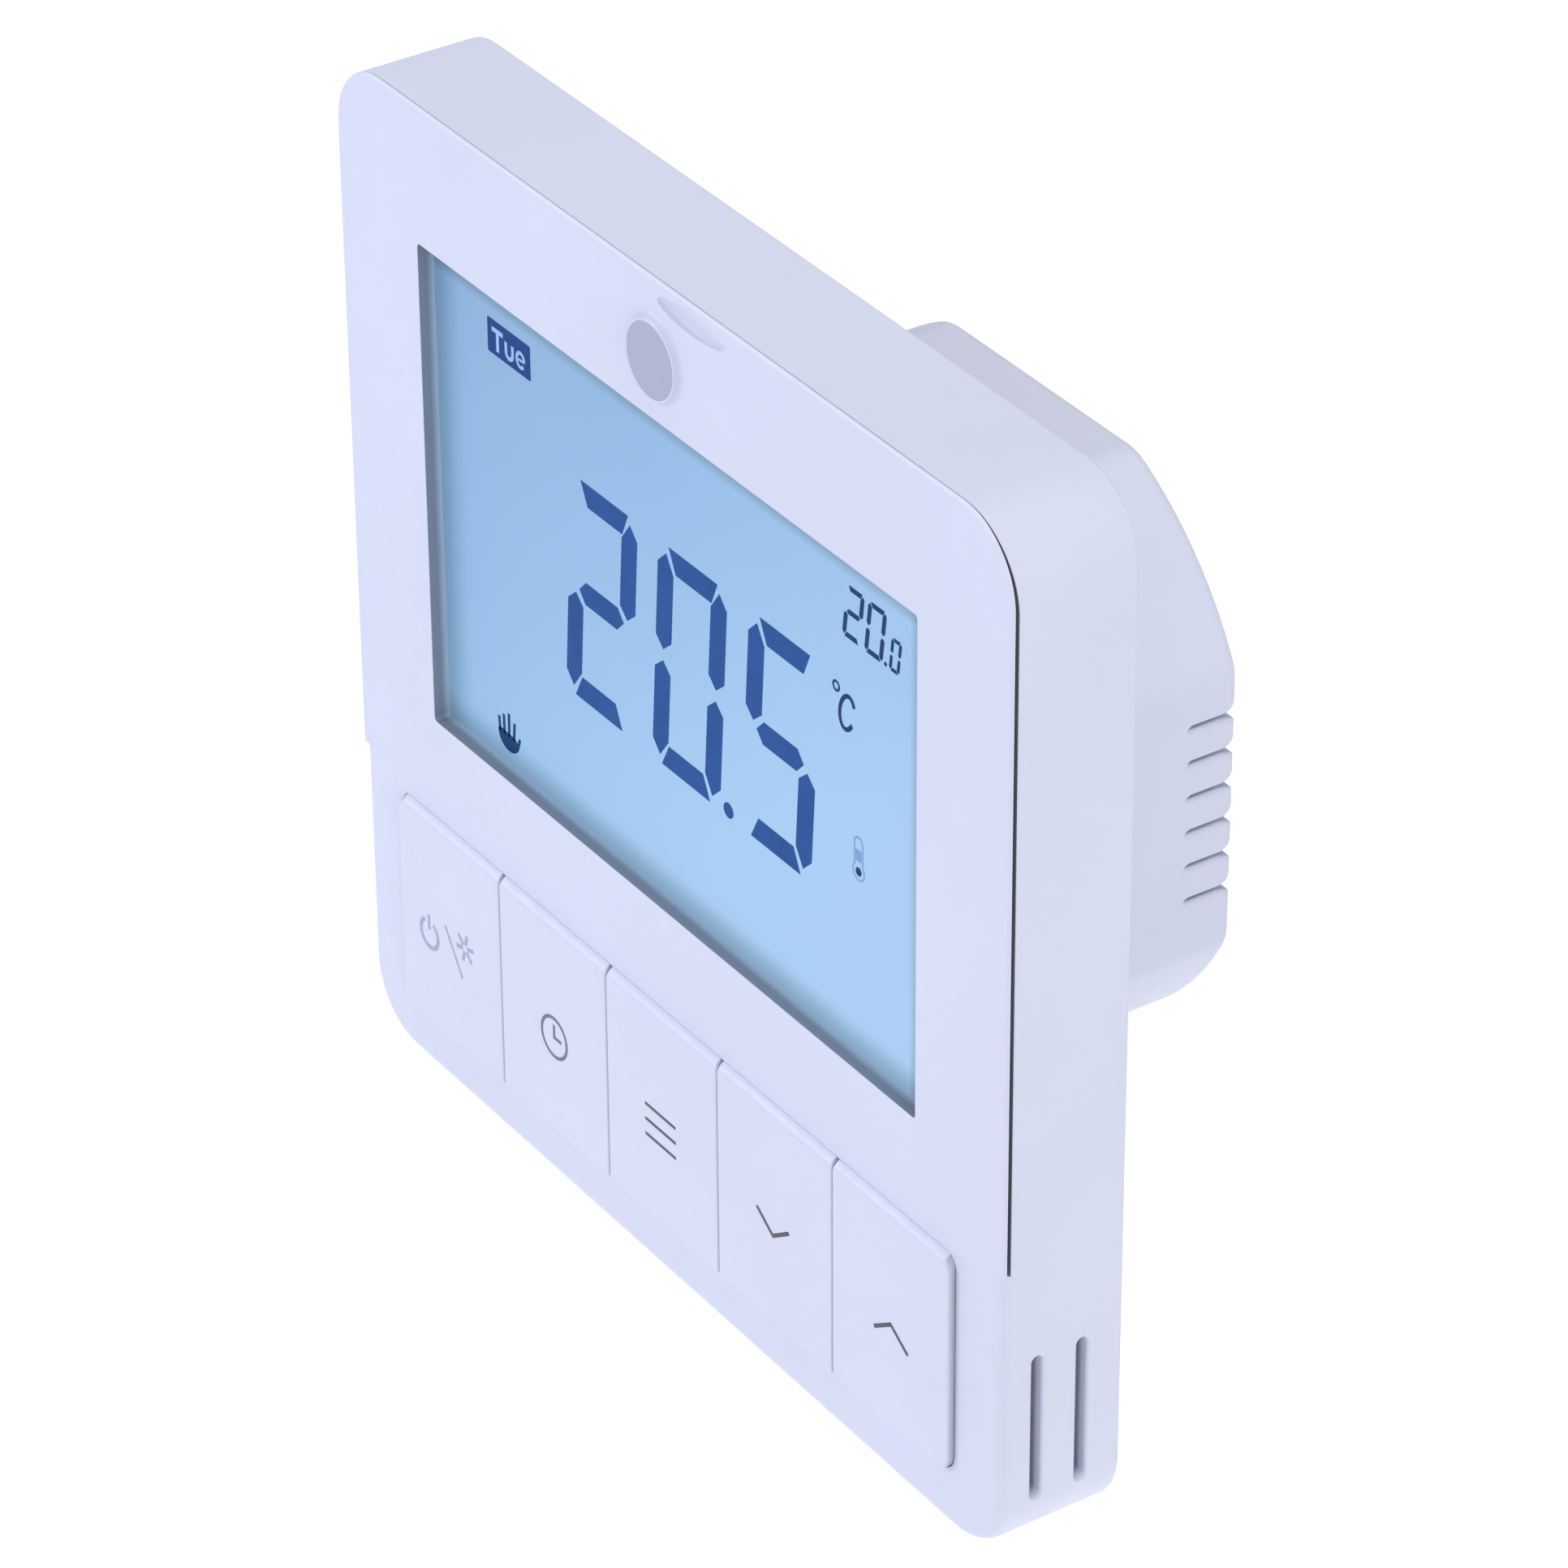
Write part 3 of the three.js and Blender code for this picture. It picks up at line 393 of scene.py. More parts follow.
# Most of a noise lies between these two values.
NOISE_RANGE = (0.3, 0.7)
GRAIN = 0.006


class Nodes:
    """Short names for building a node material."""

    def __init__(self, name):
        self.material = bpy.data.materials.new(name)
        self.material.use_nodes = True
        self.tree = self.material.node_tree
        self.shader = self.tree.nodes["Principled BSDF"]
        self.place = self.add("ShaderNodeTexCoord").outputs["Object"]

    def add(self, kind, **settings):
        node = self.tree.nodes.new(kind)
        for key, value in settings.items():
            setattr(node, key, value)
        return node

    def link(self, source, target):
        self.tree.links.new(source, target)

    def set(self, **values):
        for key, value in values.items():
            self.shader.inputs[key.replace("_", " ")].default_value = value

    def noise(self, scale, detail=2.0, roughness=0.5):
        node = self.add("ShaderNodeTexNoise")
        node.inputs["Scale"].default_value = scale
        node.inputs["Detail"].default_value = detail
        node.inputs["Roughness"].default_value = roughness
        self.link(self.place, node.inputs["Vector"])
        return node.outputs["Fac"]

    def ramp(self, source, stops):
        """A colour ramp through (position, colour) stops."""
        node = self.add("ShaderNodeValToRGB")
        elements = node.color_ramp.elements
        while len(elements) < len(stops):
            elements.new(0.5)
        for element, (position, colour) in zip(elements, stops):
            element.position = position
            element.color = (*colour, 1)
        self.link(source, node.inputs["Fac"])
        return node.outputs["Color"]

    def feed(self, node, sockets, values):
        """Gives each socket of a node a number, a plain colour, or another node's output."""
        for socket, value in zip(sockets, values):
            if isinstance(value, (int, float)):
                node.inputs[socket].default_value = value
            elif isinstance(value, tuple):
                node.inputs[socket].default_value = (*value, 1)
            else:
                self.link(value, node.inputs[socket])

    def span(self, source, low, high, to_low=0.0, to_high=1.0):
        """Maps a value from one range to another, and clamps it."""
        node = self.add("ShaderNodeMapRange")
        names = ("Value", "From Min", "From Max", "To Min", "To Max")
        self.feed(node, names, (source, low, high, to_low, to_high))
        return node.outputs["Result"]

    def axes(self):
        """The object coordinates apart, as x, y and z."""
        node = self.add("ShaderNodeSeparateXYZ")
        self.link(self.place, node.inputs["Vector"])
        return node.outputs["X"], node.outputs["Y"], node.outputs["Z"]

    def math(self, operation, *values):
        node = self.add("ShaderNodeMath", operation=operation)
        self.feed(node, (0, 1), values)
        return node.outputs["Value"]

    def mix(self, factor, a, b, blend="MIX"):
        """Mixes two colours by a factor."""
        node = self.add("ShaderNodeMix", data_type="RGBA", blend_type=blend)
        self.feed(node, (0, 6, 7), (factor, a, b))
        return node.outputs[2]

    def bump(self, height, distance, strength=1.0):
        node = self.add("ShaderNodeBump")
        node.inputs["Distance"].default_value = distance
        node.inputs["Strength"].default_value = strength
        self.link(height, node.inputs["Height"])
        self.link(node.outputs["Normal"], self.shader.inputs["Normal"])

    def colour(self, source):
        self.link(source, self.shader.inputs["Base Color"])

    def roughness(self, source):
        self.link(source, self.shader.inputs["Roughness"])

    def tones(self, scale, detail, dark, light):
        """A colour that drifts between two tones."""
        return self.ramp(self.noise(scale, detail), list(zip(NOISE_RANGE, (dark, light))))

    def uneven_roughness(self, scale, detail, low, high):
        """A roughness that drifts between two values."""
        self.roughness(self.span(self.noise(scale, detail), *NOISE_RANGE, low, high))

    def satin(self, low, high, grain=GRAIN):
        """The skin of satin moulded plastic, with its fine spark-eroded grain."""
        self.uneven_roughness(900, 3, low, high)
        self.bump(self.noise(4200, 4, 0.6), grain * MM)


def shade(colour, factor):
    return tuple(channel * factor for channel in colour)


def moulded_plastic(name, colour, roughness=0.42, grain=GRAIN, variation=0.03, specular=0.4):
    """Satin injection moulding, with a slow drift in tone."""
    m = Nodes(name)
    m.colour(m.tones(45, 3, shade(colour, 1 - variation), shade(colour, 1 + variation / 2)))
    m.satin(roughness - 0.05, roughness + 0.06, grain)
    m.set(IOR=1.5, Specular_IOR_Level=specular)
    return m.material


def printed_ink(name, colour):
    """Pad-printed ink: even in tone, with slightly thin places."""
    m = Nodes(name)
    m.colour(m.ramp(m.noise(2500, 2), [(0.35, colour), (0.75, shade(colour, 1.18))]))
    m.uneven_roughness(1500, 2, 0.5, 0.63)
    m.bump(m.noise(5000, 2), 0.003 * MM)
    return m.material


def glossy_plastic(name, colour, roughness=0.22):
    """A smooth moulded case with faint flow marks."""
    m = Nodes(name)
    m.colour(m.tones(160, 4, shade(colour, 0.94), colour))
    m.uneven_roughness(700, 3, roughness - 0.04, roughness + 0.08)
    m.set(IOR=1.5, Specular_IOR_Level=0.5)
    m.bump(m.noise(1300, 2), 0.004 * MM)
    return m.material


def button_plastic(name, colour):
    """The cover's plastic, with a painted soft shade in the hollow of the button's flank."""
    m = Nodes(name)
    x, _, z = m.axes()
    height = m.math("SUBTRACT", z, BADGE_Z * MM)
    square = m.math("ADD", m.math("MULTIPLY", x, x), m.math("MULTIPLY", height, height))
    way = m.span(m.math("SQRT", square), BADGE_FACE_RADIUS * MM, BADGE_RADIUS * MM)
    # Painted shade: darkest just outside the printed disc, fading out towards the foot of the
    # flank.
    flank_shade = (0.48, 0.505, 0.68)
    m.colour(m.ramp(way, [(0.0, colour), (0.2, flank_shade), (1.0, shade(colour, 0.98))]))
    m.satin(0.37, 0.48)
    return m.material


def key_flank(name, colour):
    """The flanks of the keys, with painted shade that deepens towards their foot."""
    m = Nodes(name)
    _, y, _ = m.axes()
    depth = m.span(y, key_low.y * MM, FACE_Y * MM)
    # Painted shade: the flank's colour darkens step by step back towards the face.
    m.colour(m.ramp(depth, [(0.0, colour), (0.4, shade(colour, 0.74)), (1.0, shade(colour, 0.56))]))
    m.satin(0.4, 0.5)
    return m.material


def vent_wall(name, colour):
    """The walls of the side slots, with painted light near the mouth and painted shade further in.
    """
    m = Nodes(name)
    x, _, _ = m.axes()
    shade_from, shade_to = ((COVER_HALF - depth) * MM for depth in (VENT_SHADE_FROM, VENT_SHADE_TO))
    inward = m.span(m.math("ABSOLUTE", x), shade_from, shade_to)
    # Painted light at the mouth, painted shade deeper into the wall.
    m.colour(m.ramp(inward, [(0.0, shade(colour, 1.2)), (1.0, shade(colour, 0.72))]))
    m.satin(0.45, 0.55)
    return m.material


def circuit_board(name):
    """Green solder mask over faint copper tracks and pads."""
    m = Nodes(name)
    mask = m.tones(220, 3, (0.008, 0.11, 0.035), (0.014, 0.15, 0.05))
    wave = m.add("ShaderNodeTexWave", wave_type="BANDS", bands_direction="DIAGONAL")
    wave.inputs["Scale"].default_value = 260
    wave.inputs["Distortion"].default_value = 6
    wave.inputs["Detail"].default_value = 0
    m.link(m.place, wave.inputs["Vector"])
    tracks = m.span(wave.outputs["Fac"], 0.62, 0.7)
    m.colour(m.mix(tracks, mask, (0.03, 0.24, 0.085)))
    m.roughness(m.span(tracks, 0, 1, 0.34, 0.27))
    m.bump(tracks, 0.03 * MM, 0.6)
    return m.material


def machined_metal(name, colour, roughness=0.3):
    """Plated steel with fine turning marks."""
    m = Nodes(name)
    m.colour(m.tones(600, 3, shade(colour, 0.86), colour))
    m.uneven_roughness(2200, 2, roughness - 0.07, roughness + 0.1)
    m.set(Metallic=1.0)
    m.bump(m.noise(3500, 3), 0.006 * MM)
    return m.material


def rubber(name, colour):
    """Matt elastomer with its fine vertical conductor stripes."""
    m = Nodes(name)
    wave = m.add("ShaderNodeTexWave", wave_type="BANDS", bands_direction="X")
    wave.inputs["Scale"].default_value = 1200
    m.link(m.place, wave.inputs["Vector"])
    m.colour(m.mix(wave.outputs["Fac"], shade(colour, 0.7), colour))
    m.uneven_roughness(900, 2, 0.7, 0.85)
    m.bump(wave.outputs["Fac"], 0.01 * MM)
    return m.material


def lit_acrylic(name):
    """The light guide: clear acrylic that glows blue over its row of printed dots."""
    m = Nodes(name)
    cells = m.add("ShaderNodeTexVoronoi")
    cells.inputs["Scale"].default_value = 900
    m.link(m.place, cells.inputs["Vector"])
    dots = m.span(cells.outputs["Distance"], 0.25, 0.35, 1, 0)
    m.colour(m.mix(dots, (0.55, 0.74, 0.9), (0.85, 0.93, 1.0)))
    m.roughness(m.span(dots, 0, 1, 0.12, 0.4))
    m.set(IOR=1.49, Emission_Color=(0.3, 0.55, 0.9, 1), Emission_Strength=0.3)
    return m.material


def backlit_display(name):
    """The lit display: a blue field, brighter low on the right, with painted soft shade at its
    edges.
    """
    m = Nodes(name)
    x, _, z = m.axes()

    def painted_edge_shade(axis, start, end, dark):
        """Painted shade: darkens the field from the window's edge to a place some way in."""
        return m.span(axis, start * MM, end * MM, dark, 1.0)

    across = m.math("MULTIPLY", m.span(x, -32.0 * MM, 32.0 * MM), 0.62)
    down = m.math("MULTIPLY", m.span(z, 31.5 * MM, -9.4 * MM), 0.42)
    slope = m.math("ADD", across, down)
    cloud = m.math("MULTIPLY", m.math("SUBTRACT", m.noise(55, 2), 0.5), 0.14)
    blues = [
        (0.05, (0.250, 0.445, 0.735)),
        (0.30, (0.288, 0.500, 0.805)),
        (0.50, (0.328, 0.562, 0.872)),
        (0.75, (0.388, 0.624, 0.928)),
        (1.00, (0.412, 0.647, 0.956)),
    ]
    field = m.ramp(m.math("ADD", slope, cloud), blues)
    # Painted shade where the window's walls would shadow the field.
    left = painted_edge_shade(x, -32.0, -28.4, 0.75)
    right = painted_edge_shade(x, 30.1, 29.3, 0.72)
    top = painted_edge_shade(z, 30.0, 29.2, 0.70)
    bottom = painted_edge_shade(z, -9.4, -7.0, 0.72)
    edge = m.math("MULTIPLY", m.math("MULTIPLY", left, right), m.math("MULTIPLY", top, bottom))
    shaded = m.ramp(edge, [(0.0, (0, 0, 0)), (0.72, (0.715, 0.735, 0.68)), (1.0, (1, 1, 1))])
    dimmed = m.mix(1.0, field, shaded, "MULTIPLY")
    m.colour(m.mix(1.0, dimmed, (0.25, 0.25, 0.25), "MULTIPLY"))
    m.link(dimmed, m.shader.inputs["Emission Color"])
    m.set(Emission_Strength=0.62, IOR=1.5, Specular_IOR_Level=0.2)
    m.uneven_roughness(3000, 2, 0.3, 0.36)
    return m.material


def crystal_segment(name, colour, glow):
    """A switched segment of the display: dark liquid crystal that still lets some blue through."""
    m = Nodes(name)
    tone = m.tones(400, 2, shade(colour, 0.92), shade(colour, 1.08))
    m.colour(tone)
    m.link(tone, m.shader.inputs["Emission Color"])
    m.set(Emission_Strength=glow, IOR=1.5, Specular_IOR_Level=0.05)
    m.uneven_roughness(3000, 2, 0.38, 0.46)
    return m.material


def window_reveal(name):
    """The walls of the window, in painted shade, with painted light from the display at their foot.
    """
    m = Nodes(name)
    _, y, _ = m.axes()
    depth = m.span(y, FACE_Y * MM, FACE_BACK_Y * MM)
    wobble = m.math("MULTIPLY", m.math("SUBTRACT", m.noise(500, 2), 0.5), 0.06)
    # Painted shade on the walls, and painted display light close to the glass.
    dark, lit = (0.175, 0.216, 0.287), (0.34, 0.44, 0.585)
    m.colour(m.ramp(m.math("ADD", depth, wobble), [(0.0, dark), (0.55, dark), (0.95, lit)]))
    m.satin(0.5, 0.62)
    return m.material


def make_materials():
    """Every material, by the name that it's asked for."""
    made = {}

    def add(maker, name, *settings, **more):
        made[name] = maker(name, *settings, **more)

    lilac = (0.578, 0.612, 0.75)
    add(moulded_plastic, "cover_plastic", lilac)
    add(moulded_plastic, "key_plastic", lilac, roughness=0.4)
    add(moulded_plastic, "box_plastic", shade(lilac, 0.97), roughness=0.48, grain=0.012)
    add(key_flank, "key_flank", lilac)
    add(vent_wall, "vent_wall", lilac)
    add(window_reveal, "window_reveal")
    # Painted shade: the groove's faces are coloured dark to stand in for the shadow inside it.
    add(moulded_plastic, "seam_groove", (0.2, 0.2, 0.25), roughness=0.7, specular=0.1)
    add(button_plastic, "badge_button", lilac)
    add(moulded_plastic, "badge_plastic", (0.35, 0.37, 0.49), roughness=0.4, specular=0.3)
    add(backlit_display, "display_glass")
    add(lit_acrylic, "clear_acrylic")
    add(moulded_plastic, "frame_plastic", (0.8, 0.8, 0.8))
    add(rubber, "contact_rubber", (0.16, 0.18, 0.2))
    add(glossy_plastic, "lamp", (0.85, 0.85, 0.72), 0.15)
    add(circuit_board, "circuit_board")
    add(moulded_plastic, "chip_plastic", (0.012, 0.012, 0.014), roughness=0.5, variation=0.1)
    add(moulded_plastic, "connector_plastic", (0.015, 0.015, 0.017), roughness=0.55)
    add(machined_metal, "screw_steel", (0.55, 0.56, 0.58))
    add(machined_metal, "cell_steel", (0.66, 0.67, 0.69), 0.22)
    add(glossy_plastic, "sensor_bead", (0.02, 0.02, 0.02))
    add(moulded_plastic, "inner_cover_plastic", (0.58, 0.61, 0.66))
    add(glossy_plastic, "relay_case", (0.03, 0.11, 0.33))
    add(glossy_plastic, "film_capacitor_case", (0.65, 0.43, 0.04))
    add(glossy_plastic, "capacitor_sleeve", (0.015, 0.018, 0.028))
    add(glossy_plastic, "fuse_case", (0.1, 0.045, 0.025))
    add(glossy_plastic, "varistor_coating", (0.025, 0.14, 0.45), 0.3)
    add(moulded_plastic, "terminal_plastic", (0.24, 0.27, 0.29), roughness=0.5)
    add(crystal_segment, "display_segment", (0.008, 0.050, 0.186), 0.5)
    add(crystal_segment, "display_weekday_box", (0.005, 0.036, 0.15), 0.4)
    add(crystal_segment, "display_glyph", (0.003, 0.03, 0.11), 0.35)
    add(crystal_segment, "display_glyph_pale", (0.13, 0.23, 0.40), 0.5)
    add(crystal_segment, "display_letters", (0.2, 0.31, 0.52), 0.5)
    add(printed_ink, "key_symbol_ink", (0.055, 0.06, 0.085))
    add(printed_ink, "key_symbol_ink_soft", (0.13, 0.135, 0.19))
    add(printed_ink, "key_symbol_ink_pale", (0.31, 0.325, 0.45))
    return made


MATERIALS = make_materials()


def paint_frame_nodes():
    """Gives every carried-over CAD node the material of its slot in the record."""
    for part in frame["record"]["subparts"]:
        mesh = frame["nodes"][part["node"]].data
        mesh.materials.clear()
        mesh.materials.append(MATERIALS[part["material_slot"]])


# ---------------- front cover


def cover_profile(edge):
    """(inset, depth behind the face, follows the groove's back edge) down the outside."""
    if edge == LOWER_EDGE:
        return [(*pair, False) for pair in edge_profile(edge, 2 * EDGE_STEPS)]
    pairs = [(*pair, False) for pair in edge_profile(edge, EDGE_STEPS)]
    groove_front = pairs[-1][1]
    pairs += [
        (GROOVE_DEPTH, groove_front, False),
        (GROOVE_DEPTH, groove_front, True),
        (GROOVE_LIP, groove_front, True),
        (0.0, groove_front + GROOVE_LIP, True),
        (0.0, LOWER_EDGE, False),
    ]
    return pairs


def groove_width(z):
    """The groove is wide down the sides, and narrows round the corners to the top edge."""
    turn = min(max((z - COVER_HALF + COVER_CORNER) / COVER_CORNER, 0), 1)
    return GROOVE_WIDTH + (GROOVE_TOP_WIDTH - GROOVE_WIDTH) * turn


def cover_ring(inset_upper, inset_lower, y_upper, y_lower, at_groove_back=False):
    """The cover's outline, with its own inset and depth above and below the groove's end."""
    z = GROOVE_BOTTOM_Z
    centre = COVER_HALF - COVER_CORNER
    half, radius = COVER_HALF - inset_lower, COVER_CORNER - inset_lower
    lower = [(-half, z - GROOVE_END)]
    lower += arc(-centre, -centre, radius, 180, 270, CORNER_STEPS)
    lower += arc(centre, -centre, radius, 270, 360, CORNER_STEPS)
    lower += [(half, z - GROOVE_END)]
    half, radius = COVER_HALF - inset_upper, COVER_CORNER - inset_upper
    upper = [(half, z)]
    upper += arc(centre, centre, radius, 0, 90, CORNER_STEPS)
    upper += arc(-centre, centre, radius, 90, 180, CORNER_STEPS)
    upper += [(-half, z)]
    ring = [(px, pz, y_lower) for px, pz in lower]
    ring += [(px, pz, y_upper + at_groove_back * groove_width(pz)) for px, pz in upper]
    return ring


def plain_cover_ring(inset, y):
    return cover_ring(inset, inset, y, y), y


def window_rings():
    rings = []
    half = WINDOW_HALF_WIDTH
    for inset, depth in edge_profile(WINDOW_EDGE, FINE_EDGE_STEPS):
        sides = (-half - inset, half + inset, WINDOW_LOW_Z - inset, WINDOW_HIGH_Z + inset)
        outline = rect_outline(*sides, [WINDOW_CORNER + inset] * 4, SMALL_CORNER_STEPS)
        rings.append((outline, FACE_Y + depth))
    rings.append((rings[-1][0], FACE_BACK_Y))
    return rings


def key_row_rings():
    z0 = key_low.z + KEY_LIP - KEY_GROW - KEY_GAP
    z1 = key_high.z - KEY_LIP + KEY_GROW + KEY_TOP_GAP
    half = key_high.x + KEY_OUTER_GROW + KEY_GAP
    rings = []
    for inset, depth in edge_profile(KEY_ROW_EDGE, FINE_EDGE_STEPS):
        bottom, top = (r + KEY_GAP + inset for r in (KEY_OUTER_CORNER, KEY_TOP_CORNER))
        sides = (-half - inset, half + inset, z0 - inset, z1 + inset)
        outline = rect_outline(*sides, (bottom, bottom, top, top), KEY_CORNER_STEPS)
        rings.append((outline, FACE_Y + depth))
    rings.append((rings[-1][0], FACE_BACK_Y))
    return rings


def badge_recess_rings():
    """The hole that the badge is pressed into, hidden by it."""
    hole = circle(0, BADGE_Z, BADGE_RADIUS, ROUND_STEPS)
    return [(hole, FACE_Y), (hole, badge_high.y)]


def dimple_rings():
    """A shallow oval hollow that is deepest towards its left end."""
    rings = []
    for share in DIMPLE_SHARES:
        x = DIMPLE_X - DIMPLE_SHIFT * (1 - share)
        half_length, half_height = DIMPLE_HALF_LENGTH * share, DIMPLE_HALF_HEIGHT * share
        outline = ellipse(x, DIMPLE_Z, half_length, half_height, steps=ROUND_STEPS)[:-1]
        rings.append((outline, FACE_Y + DIMPLE_DEPTH * math.sqrt(1 - share * share)))
    return rings


def vent_cutters():
    """Slots with a small round edge where they break through the side walls."""
    bm = bmesh.new()
    radius = VENT_WIDTH / 2
    reach = VENT_HALF_LENGTH - radius
    steps = [(CAVITY_HALF - PAST, 0.0)]
    steps += [(COVER_HALF - depth, inset) for inset, depth in reversed(edge_profile(VENT_EDGE, 4))]
    steps += [(COVER_HALF + PAST, VENT_EDGE)]
    for side in (-1, 1):
        for y in VENT_YS:
            rings = []
            for x, grow in steps:
                r = radius + grow
                outline = arc(y, VENT_CENTRE_Z + reach, r, 0, 180, VENT_STEPS)
                outline += arc(y, VENT_CENTRE_Z - reach, r, 180, 360, VENT_STEPS)
                rings.append([bm.verts.new((side * x, py, pz)) for py, pz in outline])
            for a, b in zip(rings, rings[1:]):
                bridge(bm, a, b)
            bm.faces.new(rings[0])
            bm.faces.new(rings[-1])
    return bm


def cover_rings():
    """The outside of the cover from its face to its rear rim, and back up the inside."""
    profile = zip(cover_profile(UPPER_EDGE), cover_profile(LOWER_EDGE))
    rings = [
        (cover_ring(up[0], low[0], FACE_Y + up[1], FACE_Y + low[1], up[2]), 0)
        for up, low in profile
    ]
    rear_edge = reversed(edge_profile(REAR_EDGE, FINE_EDGE_STEPS))
    rings += [plain_cover_ring(inset, -depth) for inset, depth in rear_edge]
    rings += [
        plain_cover_ring(COVER_WALL - RIM_CHAMFER, 0),
        plain_cover_ring(COVER_WALL, -RIM_CHAMFER),
        plain_cover_ring(COVER_WALL, FACE_BACK_Y),
    ]
    return rings


def make_cover():
    bm = bmesh.new()
    outer = add_stack(bm, cover_rings())
    window = add_stack(bm, window_rings())
    key_row = add_stack(bm, key_row_rings())
    recess = add_stack(bm, badge_recess_rings())
    dimple = add_stack(bm, dimple_rings())
    bm.faces.new(recess[-1])
    bm.faces.new(dimple[-1])
    fill_between(bm, [outer[0], window[0], key_row[0], recess[0], dimple[0]], (0, -1, 0))
    fill_between(bm, [outer[-1], window[-1], key_row[-1]], (0, 1, 0))
    names = ("cover_plastic", "window_reveal", "seam_groove", "vent_wall")
    cover = make_object("front_cover_moulding", bm, [MATERIALS[name] for name in names])
    combine(cover, vent_cutters(), "DIFFERENCE")
    even_normals(cover)
    # Slot 1 colours the window's walls with painted shade and display light, slot 2 the groove with
    # painted shade, and slot 3 the side slots' walls with painted light and shade.
    for slot, test in enumerate((in_window, in_groove, in_vent), start=1):
        paint(cover.data, slot, test)
    place(cover, "housing", "cover_plastic", "front_cover")


def paint(mesh, slot, test):
    """Gives a material slot to the faces whose centre passes a test."""
    for polygon in mesh.polygons:
        if test(*(polygon.center / MM)):
            polygon.material_index = slot


def in_window(x, y, z):
    """On the walls of the window."""
    beside = abs(x) < WINDOW_HALF_WIDTH + NEAR
    between = WINDOW_LOW_Z - NEAR < z < WINDOW_HIGH_Z + NEAR
    return beside and between and FACE_Y + 2 * NEAR < y < FACE_BACK_Y - 2 * NEAR


def in_groove(x, y, z):
    """Inside the shadow groove."""
    front = FACE_Y + UPPER_EDGE
    inside = NEAR < inset_from_outline(x, z) < GROOVE_DEPTH + NEAR
    return inside and z > GROOVE_BOTTOM_Z and front - NEAR < y < front + GROOVE_WIDTH + NEAR


def in_vent(x, y, z):
    """On the walls of the side slots, past their rounded edge."""
    beside = min(abs(y - vent_y) for vent_y in VENT_YS) < VENT_WIDTH / 2 + NEAR
    between = abs(z - VENT_CENTRE_Z) < VENT_HALF_LENGTH + NEAR
    return beside and between and CAVITY_HALF + NEAR < abs(x) < COVER_HALF - VENT_EDGE / 2


def inset_from_outline(x, z):
    """How far a point lies inside the cover's outline."""
    centre = COVER_HALF - COVER_CORNER
    across, up = abs(x) - centre, abs(z) - centre
    if across > 0 and up > 0:
        return COVER_CORNER - math.hypot(across, up)
    return COVER_HALF - max(abs(x), abs(z))


def make_badge():
    """A button with a soft sloping flank, and a plain grey disc printed on its front."""

    def ring(radius, y):
        return circle(0, BADGE_Z, radius, ROUND_STEPS), y

    rings = [ring(BADGE_CENTRE_RADIUS, badge_low.y), ring(BADGE_PRINT_RADIUS, badge_low.y)]
    for i in range(BADGE_FLANK_STEPS + 1):
        share = i / BADGE_FLANK_STEPS
        ease = share * share * (3 - 2 * share)
        radius = BADGE_FACE_RADIUS + (BADGE_RADIUS - BADGE_FACE_RADIUS) * share
        rings.append(ring(radius, badge_low.y + (FACE_Y - badge_low.y) * ease))
    rings.append(ring(BADGE_RADIUS, badge_high.y - BADGE_BACK_GAP))
    badge = make_object("badge_button", one_solid(rings), [MATERIALS["badge_button"]])
    even_normals(badge)
    place(badge, "housing", "badge_plastic", "badge")
    bm = bmesh.new()
    add_plate(bm, ring(BADGE_PRINT_RADIUS, 0)[0], badge_low.y, SYMBOL_THICKNESS)
    print_disc = make_object("badge_print", bm, [MATERIALS["badge_plastic"]], smooth=False)
    place(print_disc, "housing", "badge_plastic", "badge")


# ---------------- keys


def make_key(name, index):
    """A flat cap that slopes back to the face along its top, and the lip that stops it."""
    low, high = box_mm(f"key_{name}")
    inner = (KEY_GROW, KEY_INNER_CORNER, KEY_INNER_CORNER)
    outer = (KEY_OUTER_GROW, KEY_OUTER_CORNER, KEY_TOP_CORNER)
    grow_left, low_left, top_left = outer if index == 0 else inner
    grow_right, low_right, top_right = outer if index == len(KEY_NAMES) - 1 else inner
    radii = (low_left, low_right, top_right, top_left)
    x0, x1 = low.x - grow_left, high.x + grow_right
    z0, z1 = low.z + KEY_LIP - KEY_GROW, high.z - KEY_LIP + KEY_GROW

    def ring(inset, depth):
        shrunk = [r - inset for r in radii]
        brow = KEY_BROW * (1 - math.sqrt(min(depth / KEY_BROW_DEPTH, 1)))
        sides = (x0 + inset, x1 - inset, z0 + inset, z1 - brow)
        return rect_outline(*sides, shrunk, KEY_CORNER_STEPS), low.y + depth

    lip_y = FACE_Y + KEY_LIP_Y
    lip = rect_outline(x0, x1, low.z, high.z, (KEY_LIP_CORNER,) * 4, KEY_CORNER_STEPS)
    rings = [ring(*pair) for pair in edge_profile(KEY_EDGE)]
    depths = (KEY_BROW_SHARE * KEY_BROW_DEPTH, KEY_BROW_DEPTH, lip_y - low.y)
    rings += [ring(0, depth) for depth in depths]
    rings += [(lip, lip_y), (lip, high.y)]
    materials = [MATERIALS["key_plastic"], MATERIALS["key_flank"]]
    key = make_object(f"{name}_key_cap", one_solid(rings), materials)
    even_normals(key)
    # The side walls get the flank material, coloured with painted shade.
    for polygon in key.data.polygons:
        if abs(polygon.normal.x) > KEY_FLANK_TILT:
            polygon.material_index = 1
    place(key, f"{name}_key", "key_plastic", f"key_{name}")


# ---------------- thin marks: symbols and segments


